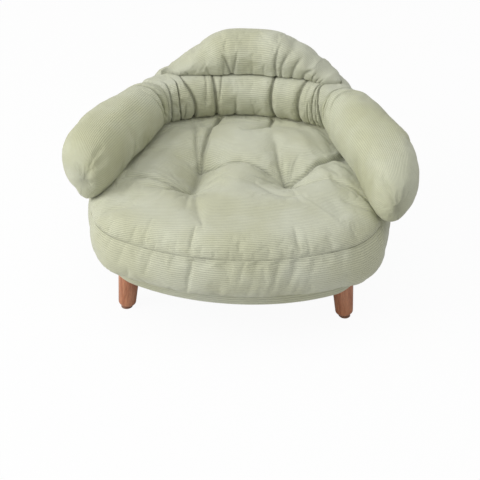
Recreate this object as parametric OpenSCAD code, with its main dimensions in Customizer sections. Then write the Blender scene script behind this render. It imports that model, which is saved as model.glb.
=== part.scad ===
// Small pet sofa: a board on four screwed-in wooden legs carries a tufted seat
// cushion, a curved two-tier back and two bolster arms, all in soft corded cloth.
// Millimetres, +Z up. The origin is on the floor, midway across the whole outline.
// The open front faces -Y and the zip of the seat cover runs along the rear.

/* [Seat cushion] */
// Full width of the seat cushion at its widest
seat_w = 478; // [464:2:490]
// Full depth of the seat cushion at its widest
seat_d = 452; // [440:2:464]
// Radius of the four corners in plan
seat_corner_r = 112; // [104:1:118]
// Height from the bottom seam to the top seam
seat_h = 74; // [64:1:90]
// How far the side swells out beyond the bottom seam
seat_bulge = 25; // [18:1:30]
// Rise from the top seam to the flat that the arms and back are sewn to
seat_rise = 20; // [14:1:26]
// Extra height of the crown inside that flat
seat_crown = 8; // [0:1:12]
// Extra height of the roll along the front edge
front_roll = 5; // [0:1:8]
// Depth of the two tufts below the crown
tuft_depth = 32; // [10:1:40]
// Distance of the tufts from the middle, as a share of the top's outline
tuft_share = 0.34; // [0.3:0.01:0.4]
// Depth of the creases that run from the tufts to the back
crease_depth = 7; // [0:1:10]

/* [Back and arms] */
// Radius of the back's centre line across the rear
back_r = 280; // [270:2:290]
// Radius of that line where it turns into the arms
turn_r = 102; // [96:1:108]
// Half width of the lower back and of the arms where they join it
bolster_w = 48; // [45:1:52]
// Half height of the bolsters before their flats
bolster_h = 46; // [44:1:50]
// Height of the lower back, from the seat to the seam under the upper back
lower_back_h = 72; // [68:1:76]
// Height of the upper back above that seam
upper_back_h = 69; // [40:1:76]
// Length of the left arm, from where its centre line runs straight
left_arm_l = 230; // [212:2:240]
// Length of the right arm, from where its centre line runs straight
right_arm_l = 268; // [246:2:278]

/* [Base and legs] */
// Height of the base's lower edge above the floor
leg_h = 76; // [60:1:110]
// Height of the base below the seat cushion
base_h = 21; // [18:1:30]
// How far the base is set in from the widest outline of the seat
base_inset = 31; // [27:1:34]
// Radius of a leg at its top
leg_top_r = 16.5; // [14:0.5:18]
// Radius of a leg at its foot
leg_foot_r = 12.5; // [10:0.5:14]
// Outward lean of each leg from upright, in degrees
leg_tilt = 8.5; // [0:0.5:10]
// Distance of each leg's top from the base's left or right side
leg_side_gap = 43; // [42:1:58]
// Distance of each leg's top from the base's front or rear
leg_front_gap = 83; // [82:1:95]

/* [Cloth and zip] */
// Thickness of the cloth with its backing
cloth_t = 2; // [1:0.5:2.5]
// Height of the zip's two tapes together
zip_tape_w = 16; // [14:1:18]
// Length of the zip's pull tab
zip_pull_l = 22; // [14:1:30]

/* [Hidden] */
// Numbers of points around the seat and around a bolster
around = 56;
bolster_around = 18;
// Directions where the outline passes from one arc to the next
front_to_corner = 26;
corner_to_side = 75;
smooth_fn = 64;

full_turn = 360;
half_turn = 180;
quarter_turn = 90;
column_turn = full_turn / around;
leg_x = seat_w / 2 - base_inset - leg_side_gap;
leg_y = seat_d / 2 - base_inset - leg_front_gap;

// Heights up the body
base_z = leg_h;
seat_z = base_z + base_h;
filling_z = seat_z + cloth_t;
top_seam_z = filling_z + seat_h;
flat_z = top_seam_z + seat_rise;
lower_top_z = flat_z + lower_back_h;
bolster_bite = 10;
bolster_z = flat_z + bolster_h - bolster_bite;
arm_top_z = flat_z + 2 * bolster_h - 1.1 * bolster_bite;

// Plan of the back's centre line
rear_sweep = 25;
arm_sweep = 71;
join_turn = 55;
back_y = 206;
rear_reach = back_y + bolster_w;
frame_y = (rear_reach - seat_d / 2) / 2;

// Seat profile, as shares of the side's height, its bulge and the edge's roll
side_rise_shares = [0, 0.122, 0.311, 0.581, 0.811, 1];
side_inset_shares = [1, 0.36, 0, 0, 0.12, 0.32];
roll_rise_shares = [0.45, 0.8, 1];
roll_inset_shares = [0.2, 0.55, 1];
top_ring_shares = [0.86, 0.67, 0.49, tuft_share, 0.5 * tuft_share];
seam_inset = seat_bulge * side_inset_shares[5];
edge_roll = 14;
flat_inset = seam_inset + edge_roll;
flat_from_share = 0.86;
crown_fade_share = 0.4;
front_fade_share = 0.7;
back_flat = 64;
crown_fade = 30;
tuft_column = 13;
tuft_spread = 28;
crease_spread = 17;
left_crease_x = -61;
left_crease_y = 148;
right_crease_x = 160;
right_crease_y = 60;

// Bolster sections: roundness, and sizes along each arm as shares
roundness_share = 0.87;
back_turns = [-join_turn, -46, -36, -25, -12, 0, 12, 25, 36, 46, join_turn];
back_wide_shares = [0.8, 0.86, 0.94, 1, 1, 1, 1, 1, 0.94, 0.86, 0.8];
arm_along_shares = [0, 0.24, 0.48, 0.69];
left_wide_shares = [0.88, 1, 1.02, 0.95];
right_wide_shares = [0.88, 0.97, 0.96, 0.85];
arm_tuck_shares = [0, 0, 0.5, 1];
tip_back_shares = [0.75, 0.45, 0.2, 0.05];
tip_wide_shares = [0.96, 0.84, 0.62, 0.34];
tip_tuck_shares = [1, 0.9, 0.75, 0.6];
tip_end_share = 0.45;
tip_l = 72;

// Upper back: stations along the centre line with their widths and heights
crest_turns = [-30, -26, -21.5, -17, -12.5, -7, 0, 7, 13, 18, 22, 27, 33, 40];
crest_wide_shares = [0.25, 0.45, 0.62, 0.7, 0.72, 0.72, 0.72, 0.72, 0.72, 0.7, 0.66, 0.58, 0.45, 0.25];
crest_high_shares = [0.07, 0.16, 0.4, 0.63, 0.83, 0.96, 1, 0.96, 0.88, 0.7, 0.55, 0.38, 0.23, 0.09];
crest_columns = 8;
crest_swell_share = 0.35;

// Base board, leg plates and their screws
band_t = 2;
dust_cover_t = 1;
plate_r = 21;
plate_t = 2.5;
boss_r = 11.5;
boss_l = 7;
washer_r = 11;
washer_hole_r = 4.3;
washer_t = 1.5;
bolt_r = 4;
bolt_fit = 0.05;
bolt_above = 3;
bolt_thread_l = 12;
bolt_wood_r = 3.5;
bolt_wood_l = 30;
bolt_room_r = 6;
bolt_room_l = 8;
pad_t = 4;
pad_inset = 1.2;
foot_round = 2;
screw_circle_r = 16.5;
screw_r = 1.8;
screw_head_r = 3.3;
screw_head_t = 1.8;
screw_l = 15;
leg_turn = 42;
leg_l = leg_h / cos(leg_tilt);
leg_top_drop = boss_l + washer_t;

// Tufting twine with its knot above and its disc below
twine_r = 1.5;
knot_r = 2.2;
knot_gap = 1.2;
twine_disc_r = 7;
twine_disc_t = 1;

// Zip along the rear of the seat's side
zip_columns = [24, 32];
zip_tape_t = 0.8;
zip_coil_t = 1.4;
zip_coil_half = 2.2;
stop_in = 1.6;
stop_l = 4.1;
stop_half = 3.5;
stop_t = 1.2;
stop_gap = 1;
slider_gap = 0.5;
slider_l = 9;
slider_half = 5;
slider_t = 1.2;
lug_w = 2;
lug_d = 3.4;
lug_h = 4;
pull_pin_r = 0.8;
pull_pin_fit = 0.05;
pull_gap = 0.4;
pull_arm_w = 1.6;
pull_t = 1.2;
pull_hole_r = 1.4;

// Room that a cut runs past what it cuts
overrun = 1;

// Colours
cloth_colour = [0.72, 0.72, 0.61];
fill_colour = [0.95, 0.95, 0.93];
board_colour = [0.78, 0.66, 0.48];
wood_colour = [0.6, 0.38, 0.26];
steel_colour = [0.62, 0.63, 0.65];
dark_colour = [0.2, 0.2, 0.2];

// Lists and meshes
function flatten(rows) = [for (row = rows) each row];
function reversed(rows) = [for (i = [len(rows) - 1 : -1 : 0]) rows[i]];
function sum(list) = [for (v = list) 1] * list;
function mean(points) = sum(points) / len(points);
// Each four-sided cell is split along its shorter diagonal, whichever way its rows run
function cell_faces(points, a, b, c, d) =
    norm(points[a] - points[c]) < norm(points[b] - points[d])
        ? [[a, b, c], [a, c, d]]
        : [[a, b, d], [b, c, d]];
function wall_faces(points, rows, count, closed) = [
    for (r = [0 : rows - (closed ? 1 : 2)], c = [0 : count - 1])
        let (s = (r + 1) % rows, d = (c + 1) % count)
        each cell_faces(points, r * count + c, r * count + d, s * count + d, s * count + c)
];
function fan_faces(start, count, tip) = [for (c = [0 : count - 1]) [start + c, start + (c + 1) % count, tip]];
function turned(faces) = [for (f = faces) [f[2], f[1], f[0]]];
function six_volumes(points, faces) =
    sum([for (f = faces) points[f[0]] * cross(points[f[1]], points[f[2]])]);

// A solid from points and faces, whichever way round the faces run
module solid(points, faces) {
    polyhedron(points, six_volumes(points, faces) > 0 ? turned(faces) : faces);
}

// A solid through closed rows of points, with a tip at either end
module loft(rows, tip_a, tip_b) {
    m = len(rows);
    k = len(rows[0]);
    points = concat(flatten(rows), [tip_a, tip_b]);
    faces = concat(
        wall_faces(points, m, k, false),
        turned(fan_faces(0, k, m * k)),
        fan_faces((m - 1) * k, k, m * k + 1)
    );
    solid(points, faces);
}

// A tube wall through rows that run out along its outside and back along its inside
module tube_wall(rows) {
    points = flatten(rows);
    solid(points, wall_faces(points, len(rows), len(rows[0]), true));
}

// A sheet bent over a line: each row holds the outside points, then the inside ones
module hood(rows, half) {
    m = len(rows);
    k = len(rows[0]);
    function end_cap(start) = [
        for (c = [0 : half - 2])
            each [
                [start + c, start + c + 1, start + k - 2 - c],
                [start + c, start + k - 2 - c, start + k - 1 - c]
            ]
    ];
    points = flatten(rows);
    faces = concat(wall_faces(points, m, k, false), turned(end_cap(0)), end_cap((m - 1) * k));
    solid(points, faces);
}

// Outline of the seat in plan, from arcs: direction 0 is the front and 90 the right
function arc_terms(a, b, rc) =
    let (
        m11 = sin(front_to_corner),
        m12 = 1 - sin(corner_to_side),
        m21 = 1 - cos(front_to_corner),
        m22 = cos(corner_to_side),
        v1 = a - rc * (sin(corner_to_side) - sin(front_to_corner)),
        v2 = b - rc * (cos(front_to_corner) - cos(corner_to_side)),
        det = m11 * m22 - m12 * m21
    )
    [(v1 * m22 - m12 * v2) / det, (m11 * v2 - m21 * v1) / det];
seat_a = seat_w / 2;
seat_b = seat_d / 2;
arc_radii = arc_terms(seat_a, seat_b, seat_corner_r);
front_r = arc_radii[0];
side_r = arc_radii[1];
rear_centre_y = seat_b - front_r - frame_y;
function quarter_point(q) =
    q <= front_to_corner ? [front_r * sin(q), seat_b - front_r + front_r * cos(q)]
    : q <= corner_to_side ? [
        front_r * sin(front_to_corner) + seat_corner_r * (sin(q) - sin(front_to_corner)),
        seat_b - front_r + front_r * cos(front_to_corner) - seat_corner_r * (cos(front_to_corner) - cos(q))
    ]
    : [seat_a - side_r + side_r * sin(q), side_r * cos(q)];
function outline_point(turn, inset) =
    let (
        h = turn > half_turn ? full_turn - turn : turn,
        q = h > quarter_turn ? half_turn - h : h,
        p = quarter_point(q),
        x = turn > half_turn ? -p[0] : p[0],
        y = h > quarter_turn ? p[1] : -p[1]
    )
    [x - inset * sin(turn), y + inset * cos(turn) - frame_y];
function outline(inset) = [for (i = [0 : around - 1]) outline_point(column_turn * i, inset)];
function ring(inset, z) = [for (p = outline(inset)) [p[0], p[1], z]];

// Top of the seat: a crown with two tufts, the creases that run from them and a front roll
function smooth_step(v) = let (c = min(1, max(0, v))) c * c * (3 - 2 * c);
function ring_point(column, share) = share * outline_point(column_turn * column, flat_inset)
    - (1 - share) * [0, frame_y];
right_tuft = ring_point(tuft_column, tuft_share);
left_tuft = ring_point(around - tuft_column, tuft_share);
function bell(d, spread) = exp(-(d * d) / (2 * spread * spread));
function line_distance(p, a, b) =
    let (ab = b - a, t = min(1, max(0, ((p - a) * ab) / (ab * ab))))
    norm(p - a - t * ab);
function back_gap(p) =
    let (
        q = [abs(p[0]), p[1]],
        r = q - rear_centre,
        t = q - turn_centre,
        way = atan2(t[0], t[1])
    )
    way >= rear_sweep && way <= arm_sweep ? turn_r - norm(t)
    : min(back_r - norm(r), turn_r - t * path_out(arm_sweep));
function top_lift(p, share) = share >= flat_from_share ? 0 :
    seat_crown * smooth_step((flat_from_share - share) / crown_fade_share)
        * smooth_step((back_gap(p) - back_flat) / crown_fade)
    - tuft_depth * (bell(norm(p - right_tuft), tuft_spread) + bell(norm(p - left_tuft), tuft_spread))
    - crease_depth * bell(line_distance(p, left_tuft, [left_crease_x, left_crease_y - frame_y]), crease_spread)
    - crease_depth * bell(line_distance(p, right_tuft, [right_crease_x, right_crease_y - frame_y]), crease_spread);
function roll_lift(turn) = front_roll * smooth_step((cos(turn) - front_fade_share) / (1 - front_fade_share));
function top_ring(share, drop) = [
    for (i = [0 : around - 1])
        let (p = ring_point(i, share))
        [p[0], p[1], flat_z - drop + top_lift(p, share)
            + (share >= flat_from_share ? roll_lift(column_turn * i) : 0)]
];
function roll_ring(i, t) = [
    for (c = [0 : around - 1])
        let (
            turn = column_turn * c,
            p = outline_point(turn, seam_inset + edge_roll * roll_inset_shares[i] + (i < 2 ? t / 2 : 0))
        )
        [p[0], p[1], top_seam_z + roll_rise_shares[i] * (seat_rise + roll_lift(turn)) - t]
];
function side_rows(t) = [
    for (i = [0 : len(side_rise_shares) - 1])
        ring(seat_bulge * side_inset_shares[i] + t, filling_z + seat_h * side_rise_shares[i])
];
function top_rows(t) = concat(
    [for (i = [0 : len(roll_rise_shares) - 1]) roll_ring(i, t)],
    [for (s = top_ring_shares) top_ring(s, t)]
);
function top_middle(t) = [0, -frame_y, flat_z - t + seat_crown];
function seam_ring(t) = ring(seam_inset + t, top_seam_z);

// Centre line of the back and arms: turn is its direction out of the rear, to the right
rear_centre = [0, back_y - back_r - frame_y];
turn_centre = rear_centre + (back_r - turn_r) * [sin(rear_sweep), cos(rear_sweep)];
function mirrored(p, side) = [side * p[0], p[1]];
function path_out(turn) = [sin(turn), cos(turn)];
function path_point(turn, along) =
    let (q = abs(turn), side = turn < 0 ? -1 : 1)
    q <= rear_sweep
        ? rear_centre + back_r * path_out(turn)
        : mirrored(turn_centre + turn_r * path_out(q) + along * [cos(q), -sin(q)], side);
function curved(v) = sign(v) * pow(abs(v), roundness_share);
function section(turn, along, shift, w, up, down, low, high) = [
    for (j = [0 : bolster_around - 1])
        let (
            a = full_turn * (j + 0.5) / bolster_around,
            p = path_point(turn, along) + (w * curved(cos(a)) - shift) * path_out(turn),
            h = a < half_turn ? up : down
        )
        [p[0], p[1], min(high, max(low, bolster_z + h * curved(sin(a))))]
];
function back_section(turn, share, t) = section(turn, 0, 0, bolster_w * share - t,
    bolster_h * share - t, bolster_h - t, flat_z + t, lower_top_z - t);
function back_rows(t) = [
    for (i = [0 : len(back_turns) - 1]) back_section(back_turns[i], back_wide_shares[i], t)
];
// Each arm starts at its join, and its sections keep close to the seat as they get narrower
function arm_section(side, along, wide, high, tuck, t) =
    section(side * arm_sweep, along, tuck * bolster_w * (1 - wide), bolster_w * wide - t,
        bolster_h * high - t, bolster_h * high - t, flat_z + t, arm_top_z - t);
function arm_rows(side, length, wide_shares, t) =
    let (last = wide_shares[len(wide_shares) - 1])
    concat(
        [back_section(side * join_turn, back_wide_shares[0], t)],
        [for (i = [0 : len(arm_along_shares) - 1])
            arm_section(side, length * arm_along_shares[i], wide_shares[i], 1, arm_tuck_shares[i], t)],
        [for (i = [0 : len(tip_back_shares) - 1])
            arm_section(side, length - t - tip_l * tip_back_shares[i], last * tip_wide_shares[i],
                tip_wide_shares[i], tip_tuck_shares[i], t)]
    );
function arm_tip(side, length, t) =
    let (p = path_point(side * arm_sweep, length - t) - tip_end_share * bolster_w * path_out(side * arm_sweep))
    [p[0], p[1], bolster_z];
function left_rows(t) = arm_rows(-1, left_arm_l, left_wide_shares, t);
function right_rows(t) = arm_rows(1, right_arm_l, right_wide_shares, t);

// Upper back: bent over the flat on the lower back, swelling out above the seam
function crest_point(i, a, t) =
    let (
        turn = crest_turns[i],
        w = bolster_w * crest_wide_shares[i] - t,
        x = w * curved(cos(a)) * (1 + crest_swell_share * sin(2 * min(a, half_turn - a))),
        z = (upper_back_h * crest_high_shares[i] - t) * curved(sin(a)),
        p = path_point(turn, 0) + x * path_out(turn)
    )
    [p[0], p[1], lower_top_z + z];
function crest_row(i, t) = [for (j = [0 : crest_columns]) crest_point(i, half_turn * j / crest_columns, t)];

// Base
module plan(inset) {
    polygon(outline(inset));
}

// Places what follows at one leg's top, with +Z up along the leg's line
module at_leg(sx, sy) {
    translate([sx * leg_x, sy * leg_y - frame_y, base_z])
        rotate([0, leg_tilt, atan2(-sy * sin(leg_turn), -sx * cos(leg_turn))])
            children();
}
module at_screws(sx, sy) {
    for (k = [0 : 3])
        translate([sx * leg_x, sy * leg_y - frame_y, base_z])
            rotate([0, 0, quarter_turn * (k + 0.5)])
                translate([screw_circle_r, 0, 0])
                    children();
}
module all_legs() {
    for (sx = [-1, 1], sy = [-1, 1])
        at_leg(sx, sy)
            children();
}
module all_screws() {
    for (sx = [-1, 1], sy = [-1, 1])
        at_screws(sx, sy)
            children();
}

module base_board() {
    color(board_colour)
        difference() {
            translate([0, 0, base_z + dust_cover_t])
                linear_extrude(base_h - dust_cover_t)
                    plan(base_inset + band_t);
            all_legs()
                translate([0, 0, -bolt_room_l])
                    cylinder(r = bolt_room_r, h = 2 * bolt_room_l, $fn = smooth_fn);
            all_screws()
                cylinder(r = screw_r, h = screw_l, $fn = smooth_fn);
        }
}

module base_band() {
    color(cloth_colour)
        translate([0, 0, base_z])
            linear_extrude(base_h)
                difference() {
                    plan(base_inset);
                    plan(base_inset + band_t);
                }
}

module dust_cover() {
    color(dark_colour)
        difference() {
            translate([0, 0, base_z])
                linear_extrude(dust_cover_t)
                    plan(base_inset + band_t);
            all_legs()
                translate([0, 0, -bolt_room_l])
                    cylinder(r = bolt_room_r, h = 2 * bolt_room_l, $fn = smooth_fn);
            all_screws()
                translate([0, 0, -overrun])
                    cylinder(r = screw_r, h = screw_l, $fn = smooth_fn);
        }
}

// A flat steel plate with a boss square to the leg, bored for the bolt
module leg_plate(sx, sy) {
    color(steel_colour)
        difference() {
            union() {
                translate([sx * leg_x, sy * leg_y - frame_y, base_z - plate_t])
                    cylinder(r = plate_r, h = plate_t, $fn = smooth_fn);
                intersection() {
                    at_leg(sx, sy)
                        translate([0, 0, -boss_l])
                            cylinder(r = boss_r, h = 2 * boss_l, $fn = smooth_fn);
                    translate([sx * leg_x - plate_r, sy * leg_y - frame_y - plate_r, base_z - 2 * boss_l])
                        cube([2 * plate_r, 2 * plate_r, 2 * boss_l]);
                }
            }
            at_leg(sx, sy)
                translate([0, 0, -2 * boss_l])
                    cylinder(r = bolt_r + bolt_fit, h = 4 * boss_l, $fn = smooth_fn);
            at_screws(sx, sy)
                translate([0, 0, -plate_t - overrun])
                    cylinder(r = screw_r, h = plate_t + 2 * overrun, $fn = smooth_fn);
        }
}

module plate_screws() {
    color(steel_colour)
        all_screws()
            union() {
                translate([0, 0, -plate_t - screw_head_t])
                    cylinder(r = screw_head_r, h = screw_head_t, $fn = smooth_fn);
                translate([0, 0, -plate_t - screw_head_t])
                    cylinder(r = screw_r, h = plate_t + screw_head_t + screw_l, $fn = smooth_fn);
            }
}

// Legs
// A turned wooden leg, bored from the top for its bolt
module leg(sx, sy) {
    foot = pad_t - leg_l;
    head = -leg_top_drop;
    color(wood_colour)
        at_leg(sx, sy)
            difference() {
                rotate_extrude($fn = smooth_fn)
                    polygon([
                        [0, foot],
                        [leg_foot_r - foot_round, foot],
                        [leg_foot_r, foot + foot_round],
                        [leg_top_r, head],
                        [0, head]
                    ]);
                translate([0, 0, head - bolt_thread_l])
                    cylinder(r = bolt_r, h = bolt_thread_l + overrun, $fn = smooth_fn);
                translate([0, 0, head - bolt_thread_l - bolt_wood_l])
                    cylinder(r = bolt_wood_r, h = bolt_wood_l + overrun, $fn = smooth_fn);
            }
}

module bolt(sx, sy) {
    color(steel_colour)
        at_leg(sx, sy)
            union() {
                translate([0, 0, -leg_top_drop - bolt_thread_l])
                    cylinder(r = bolt_r, h = bolt_thread_l + leg_top_drop + bolt_above, $fn = smooth_fn);
                translate([0, 0, -leg_top_drop - bolt_thread_l - bolt_wood_l])
                    cylinder(r = bolt_wood_r, h = bolt_wood_l + bolt_r, $fn = smooth_fn);
            }
}

// A soft pad under the foot, pressed flat by the floor
module foot_pad(sx, sy) {
    color(dark_colour)
        intersection() {
            at_leg(sx, sy)
                translate([0, 0, -leg_l - pad_t])
                    cylinder(r = leg_foot_r - foot_round - pad_inset, h = 2 * pad_t, $fn = smooth_fn);
            translate([-seat_w, -seat_w, 0])
                cube([2 * seat_w, 2 * seat_w, leg_h]);
        }
}

module washer(sx, sy) {
    color(dark_colour)
        at_leg(sx, sy)
            translate([0, 0, -leg_top_drop])
                difference() {
                    cylinder(r = washer_r, h = washer_t, $fn = smooth_fn);
                    translate([0, 0, -overrun])
                        cylinder(r = washer_hole_r, h = washer_t + 2 * overrun, $fn = smooth_fn);
                }
}

// Seat cushion
module twine_holes() {
    for (p = [left_tuft, right_tuft])
        translate([p[0], p[1], seat_z - overrun])
            cylinder(r = twine_r, h = flat_z + seat_rise - seat_z, $fn = smooth_fn);
}

module seat_bottom_cover() {
    color(cloth_colour)
        difference() {
            translate([0, 0, seat_z])
                linear_extrude(cloth_t)
                    plan(seat_bulge);
            twine_holes();
            for (p = [left_tuft, right_tuft])
                translate([p[0], p[1], seat_z - overrun])
                    cylinder(r = twine_disc_r, h = twine_disc_t + overrun, $fn = smooth_fn);
        }
}

module seat_side_band() {
    color(cloth_colour)
        tube_wall(concat(side_rows(0), reversed(side_rows(cloth_t))));
}

module seat_top_cover() {
    color(cloth_colour)
        difference() {
            loft(
                concat(reversed(top_rows(cloth_t)), [seam_ring(cloth_t), seam_ring(0)], top_rows(0)),
                top_middle(cloth_t),
                top_middle(0)
            );
            twine_holes();
        }
}

module seat_filling() {
    color(fill_colour)
        difference() {
            loft(
                concat(side_rows(cloth_t), top_rows(cloth_t)),
                [0, -frame_y, filling_z],
                top_middle(cloth_t)
            );
            twine_holes();
        }
}

module tuft_ties() {
    color(cloth_colour)
        for (p = [left_tuft, right_tuft]) {
            knot_z = flat_z + top_lift(p, tuft_share) + knot_r + knot_gap;
            translate([p[0], p[1], seat_z])
                union() {
                    cylinder(r = twine_disc_r, h = twine_disc_t, $fn = smooth_fn);
                    cylinder(r = twine_r, h = knot_z - seat_z, $fn = smooth_fn);
                    translate([0, 0, knot_z - seat_z])
                        sphere(r = knot_r, $fn = smooth_fn);
                }
        }
}

// Back and arms
module lower_back_cover() {
    color(cloth_colour)
        tube_wall(concat(back_rows(0), reversed(back_rows(cloth_t))));
}

module lower_back_filling() {
    rows = back_rows(cloth_t);
    color(fill_colour)
        loft(rows, mean(rows[0]), mean(rows[len(rows) - 1]));
}

module arm_cover(outer, inner, tip_in, tip_out) {
    color(cloth_colour)
        loft(concat(reversed(inner), outer), tip_in, tip_out);
}

module arm_filling(rows, tip) {
    color(fill_colour)
        loft(rows, mean(rows[0]), tip);
}

module left_arm_cover() {
    arm_cover(left_rows(0), left_rows(cloth_t), arm_tip(-1, left_arm_l, cloth_t), arm_tip(-1, left_arm_l, 0));
}

module left_arm_filling() {
    arm_filling(left_rows(cloth_t), arm_tip(-1, left_arm_l, cloth_t));
}

module right_arm_cover() {
    arm_cover(right_rows(0), right_rows(cloth_t), arm_tip(1, right_arm_l, cloth_t), arm_tip(1, right_arm_l, 0));
}

module right_arm_filling() {
    arm_filling(right_rows(cloth_t), arm_tip(1, right_arm_l, cloth_t));
}

module upper_back_cover() {
    color(cloth_colour)
        hood(
            [for (i = [0 : len(crest_turns) - 1]) concat(crest_row(i, 0), reversed(crest_row(i, cloth_t)))],
            crest_columns + 1
        );
}

module upper_back_filling() {
    rows = [for (i = [0 : len(crest_turns) - 1]) crest_row(i, cloth_t)];
    color(fill_colour)
        loft(rows, mean(rows[0]), mean(rows[len(rows) - 1]));
}

// Zip
zip_mid_z = filling_z + seat_h * (side_rise_shares[2] + side_rise_shares[3]) / 2;
function facet_point(column, out) =
    let (
        i = floor(column),
        f = column - i,
        p = outline_point(column_turn * i, -out),
        q = outline_point(column_turn * (i + 1), -out)
    )
    p + f * (q - p);
function strip_row(column, near, far, half) =
    let (p = facet_point(column, near), q = facet_point(column, far))
    [
        [p[0], p[1], zip_mid_z - half],
        [p[0], p[1], zip_mid_z + half],
        [q[0], q[1], zip_mid_z + half],
        [q[0], q[1], zip_mid_z - half]
    ];
module strip(columns, near, far, half) {
    rows = [for (c = columns) strip_row(c, near, far, half)];
    loft(rows, mean(rows[0]), mean(rows[len(rows) - 1]));
}

module zip_tapes() {
    color(cloth_colour)
        strip([zip_columns[0] : zip_columns[1]], 0, zip_tape_t, zip_tape_w / 2);
}

module zip_coil() {
    color(cloth_colour)
        strip([zip_columns[0] : zip_columns[1]], zip_tape_t, zip_tape_t + zip_coil_t, zip_coil_half);
}

// A stop near each end of the coil, placed by its distance in from that end
module zip_stops() {
    near = zip_tape_t + zip_coil_t;
    column_l = norm(facet_point(zip_columns[0] + 1, near) - facet_point(zip_columns[0], near));
    color(steel_colour)
        for (side = [0, 1])
            strip(
                [for (l = [stop_in, stop_in + stop_l]) zip_columns[side] + (side == 0 ? l : -l) / column_l],
                near,
                near + stop_t,
                stop_half
            );
}

// Places what follows on the zip at the closed end, against its stop, with +Y outward
slider_angle = half_turn - column_turn * zip_columns[0]
    - (stop_in + stop_l + stop_gap + slider_l / 2) / front_r * half_turn / PI;
module at_slider() {
    translate([0, rear_centre_y, zip_mid_z])
        rotate([0, 0, -slider_angle])
            translate([0, front_r, 0])
                children();
}
slider_back = zip_tape_t + zip_coil_t + slider_gap;
pivot_out = slider_back + slider_t + lug_d / 2;

module zip_slider() {
    rail = slider_back - zip_tape_t - slider_gap;
    color(steel_colour)
        at_slider()
            difference() {
                union() {
                    translate([-slider_l / 2, slider_back, -slider_half])
                        cube([slider_l, slider_t, 2 * slider_half]);
                    for (side = [-1, 1])
                        translate([0, slider_back - rail / 2, side * (slider_half + zip_coil_half + slider_gap) / 2])
                            cube([slider_l, rail, slider_half - zip_coil_half - slider_gap], center = true);
                    translate([-lug_w / 2, slider_back, -lug_h / 2])
                        cube([lug_w, slider_t + lug_d, lug_h]);
                }
                translate([-lug_w, pivot_out, 0])
                    rotate([0, 90, 0])
                        cylinder(r = pull_pin_r + pull_pin_fit, h = 2 * lug_w, $fn = smooth_fn);
            }
}

// The pull hangs from a pin through the slider's lug
module zip_pull() {
    arm_out = lug_w / 2 + pull_gap;
    arm_l = lug_h;
    color(steel_colour)
        at_slider()
            translate([0, pivot_out, 0])
                difference() {
                    union() {
                        translate([-arm_out - pull_arm_w, 0, 0])
                            rotate([0, 90, 0])
                                cylinder(r = pull_pin_r, h = 2 * (arm_out + pull_arm_w), $fn = smooth_fn);
                        for (side = [-1, 1])
                            translate([side * (arm_out + pull_arm_w / 2), 0, -arm_l / 2 + pull_t / 2])
                                cube([pull_arm_w, pull_t, arm_l + pull_t], center = true);
                        translate([-arm_out - pull_arm_w, -pull_t / 2, -zip_pull_l])
                            cube([2 * (arm_out + pull_arm_w), pull_t, zip_pull_l - arm_l]);
                    }
                    translate([0, pull_t, pull_arm_w + pull_hole_r - zip_pull_l])
                        rotate([90, 0, 0])
                            cylinder(r = pull_hole_r, h = 2 * pull_t, $fn = smooth_fn);
                }
}

base_board();
base_band();
dust_cover();
leg_plate(-1, -1);  // leg_plate_front_left
leg_plate(1, -1);  // leg_plate_front_right
leg_plate(-1, 1);  // leg_plate_rear_left
leg_plate(1, 1);  // leg_plate_rear_right
plate_screws();
seat_bottom_cover();
seat_side_band();
seat_top_cover();
seat_filling();
tuft_ties();
lower_back_cover();
lower_back_filling();
upper_back_cover();
upper_back_filling();
left_arm_cover();
left_arm_filling();
right_arm_cover();
right_arm_filling();
zip_tapes();
zip_coil();
zip_stops();
zip_slider();
zip_pull();
leg(-1, -1);  // leg_front_left
leg(1, -1);  // leg_front_right
leg(-1, 1);  // leg_rear_left
leg(1, 1);  // leg_rear_right
bolt(-1, -1);  // bolt_front_left
bolt(1, -1);  // bolt_front_right
bolt(-1, 1);  // bolt_rear_left
bolt(1, 1);  // bolt_rear_right
foot_pad(-1, -1);  // foot_pad_front_left
foot_pad(1, -1);  // foot_pad_front_right
foot_pad(-1, 1);  // foot_pad_rear_left
foot_pad(1, 1);  // foot_pad_rear_right
washer(-1, -1);  // washer_front_left
washer(1, -1);  // washer_front_right
washer(-1, 1);  // washer_rear_left
washer(1, 1);  // washer_rear_right
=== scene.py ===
import math

import bpy
import numpy as np
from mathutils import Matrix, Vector


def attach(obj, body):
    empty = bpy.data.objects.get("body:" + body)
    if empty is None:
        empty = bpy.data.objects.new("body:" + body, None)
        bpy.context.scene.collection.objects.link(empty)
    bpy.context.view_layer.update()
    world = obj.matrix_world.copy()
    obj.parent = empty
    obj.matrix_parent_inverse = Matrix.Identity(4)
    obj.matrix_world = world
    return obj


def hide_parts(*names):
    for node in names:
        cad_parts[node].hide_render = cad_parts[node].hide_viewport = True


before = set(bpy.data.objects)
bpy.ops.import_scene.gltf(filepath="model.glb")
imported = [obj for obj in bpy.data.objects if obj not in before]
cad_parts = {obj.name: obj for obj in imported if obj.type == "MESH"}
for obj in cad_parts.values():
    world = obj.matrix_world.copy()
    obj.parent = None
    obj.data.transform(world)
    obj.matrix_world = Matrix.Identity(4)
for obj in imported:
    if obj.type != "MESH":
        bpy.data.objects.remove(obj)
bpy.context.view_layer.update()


# Base board
# The real board is 20 mm birch plywood, sawn to the seat's outline and hidden under the
# cushion. Its material is the first, so the tools that every material uses start here.

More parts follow.
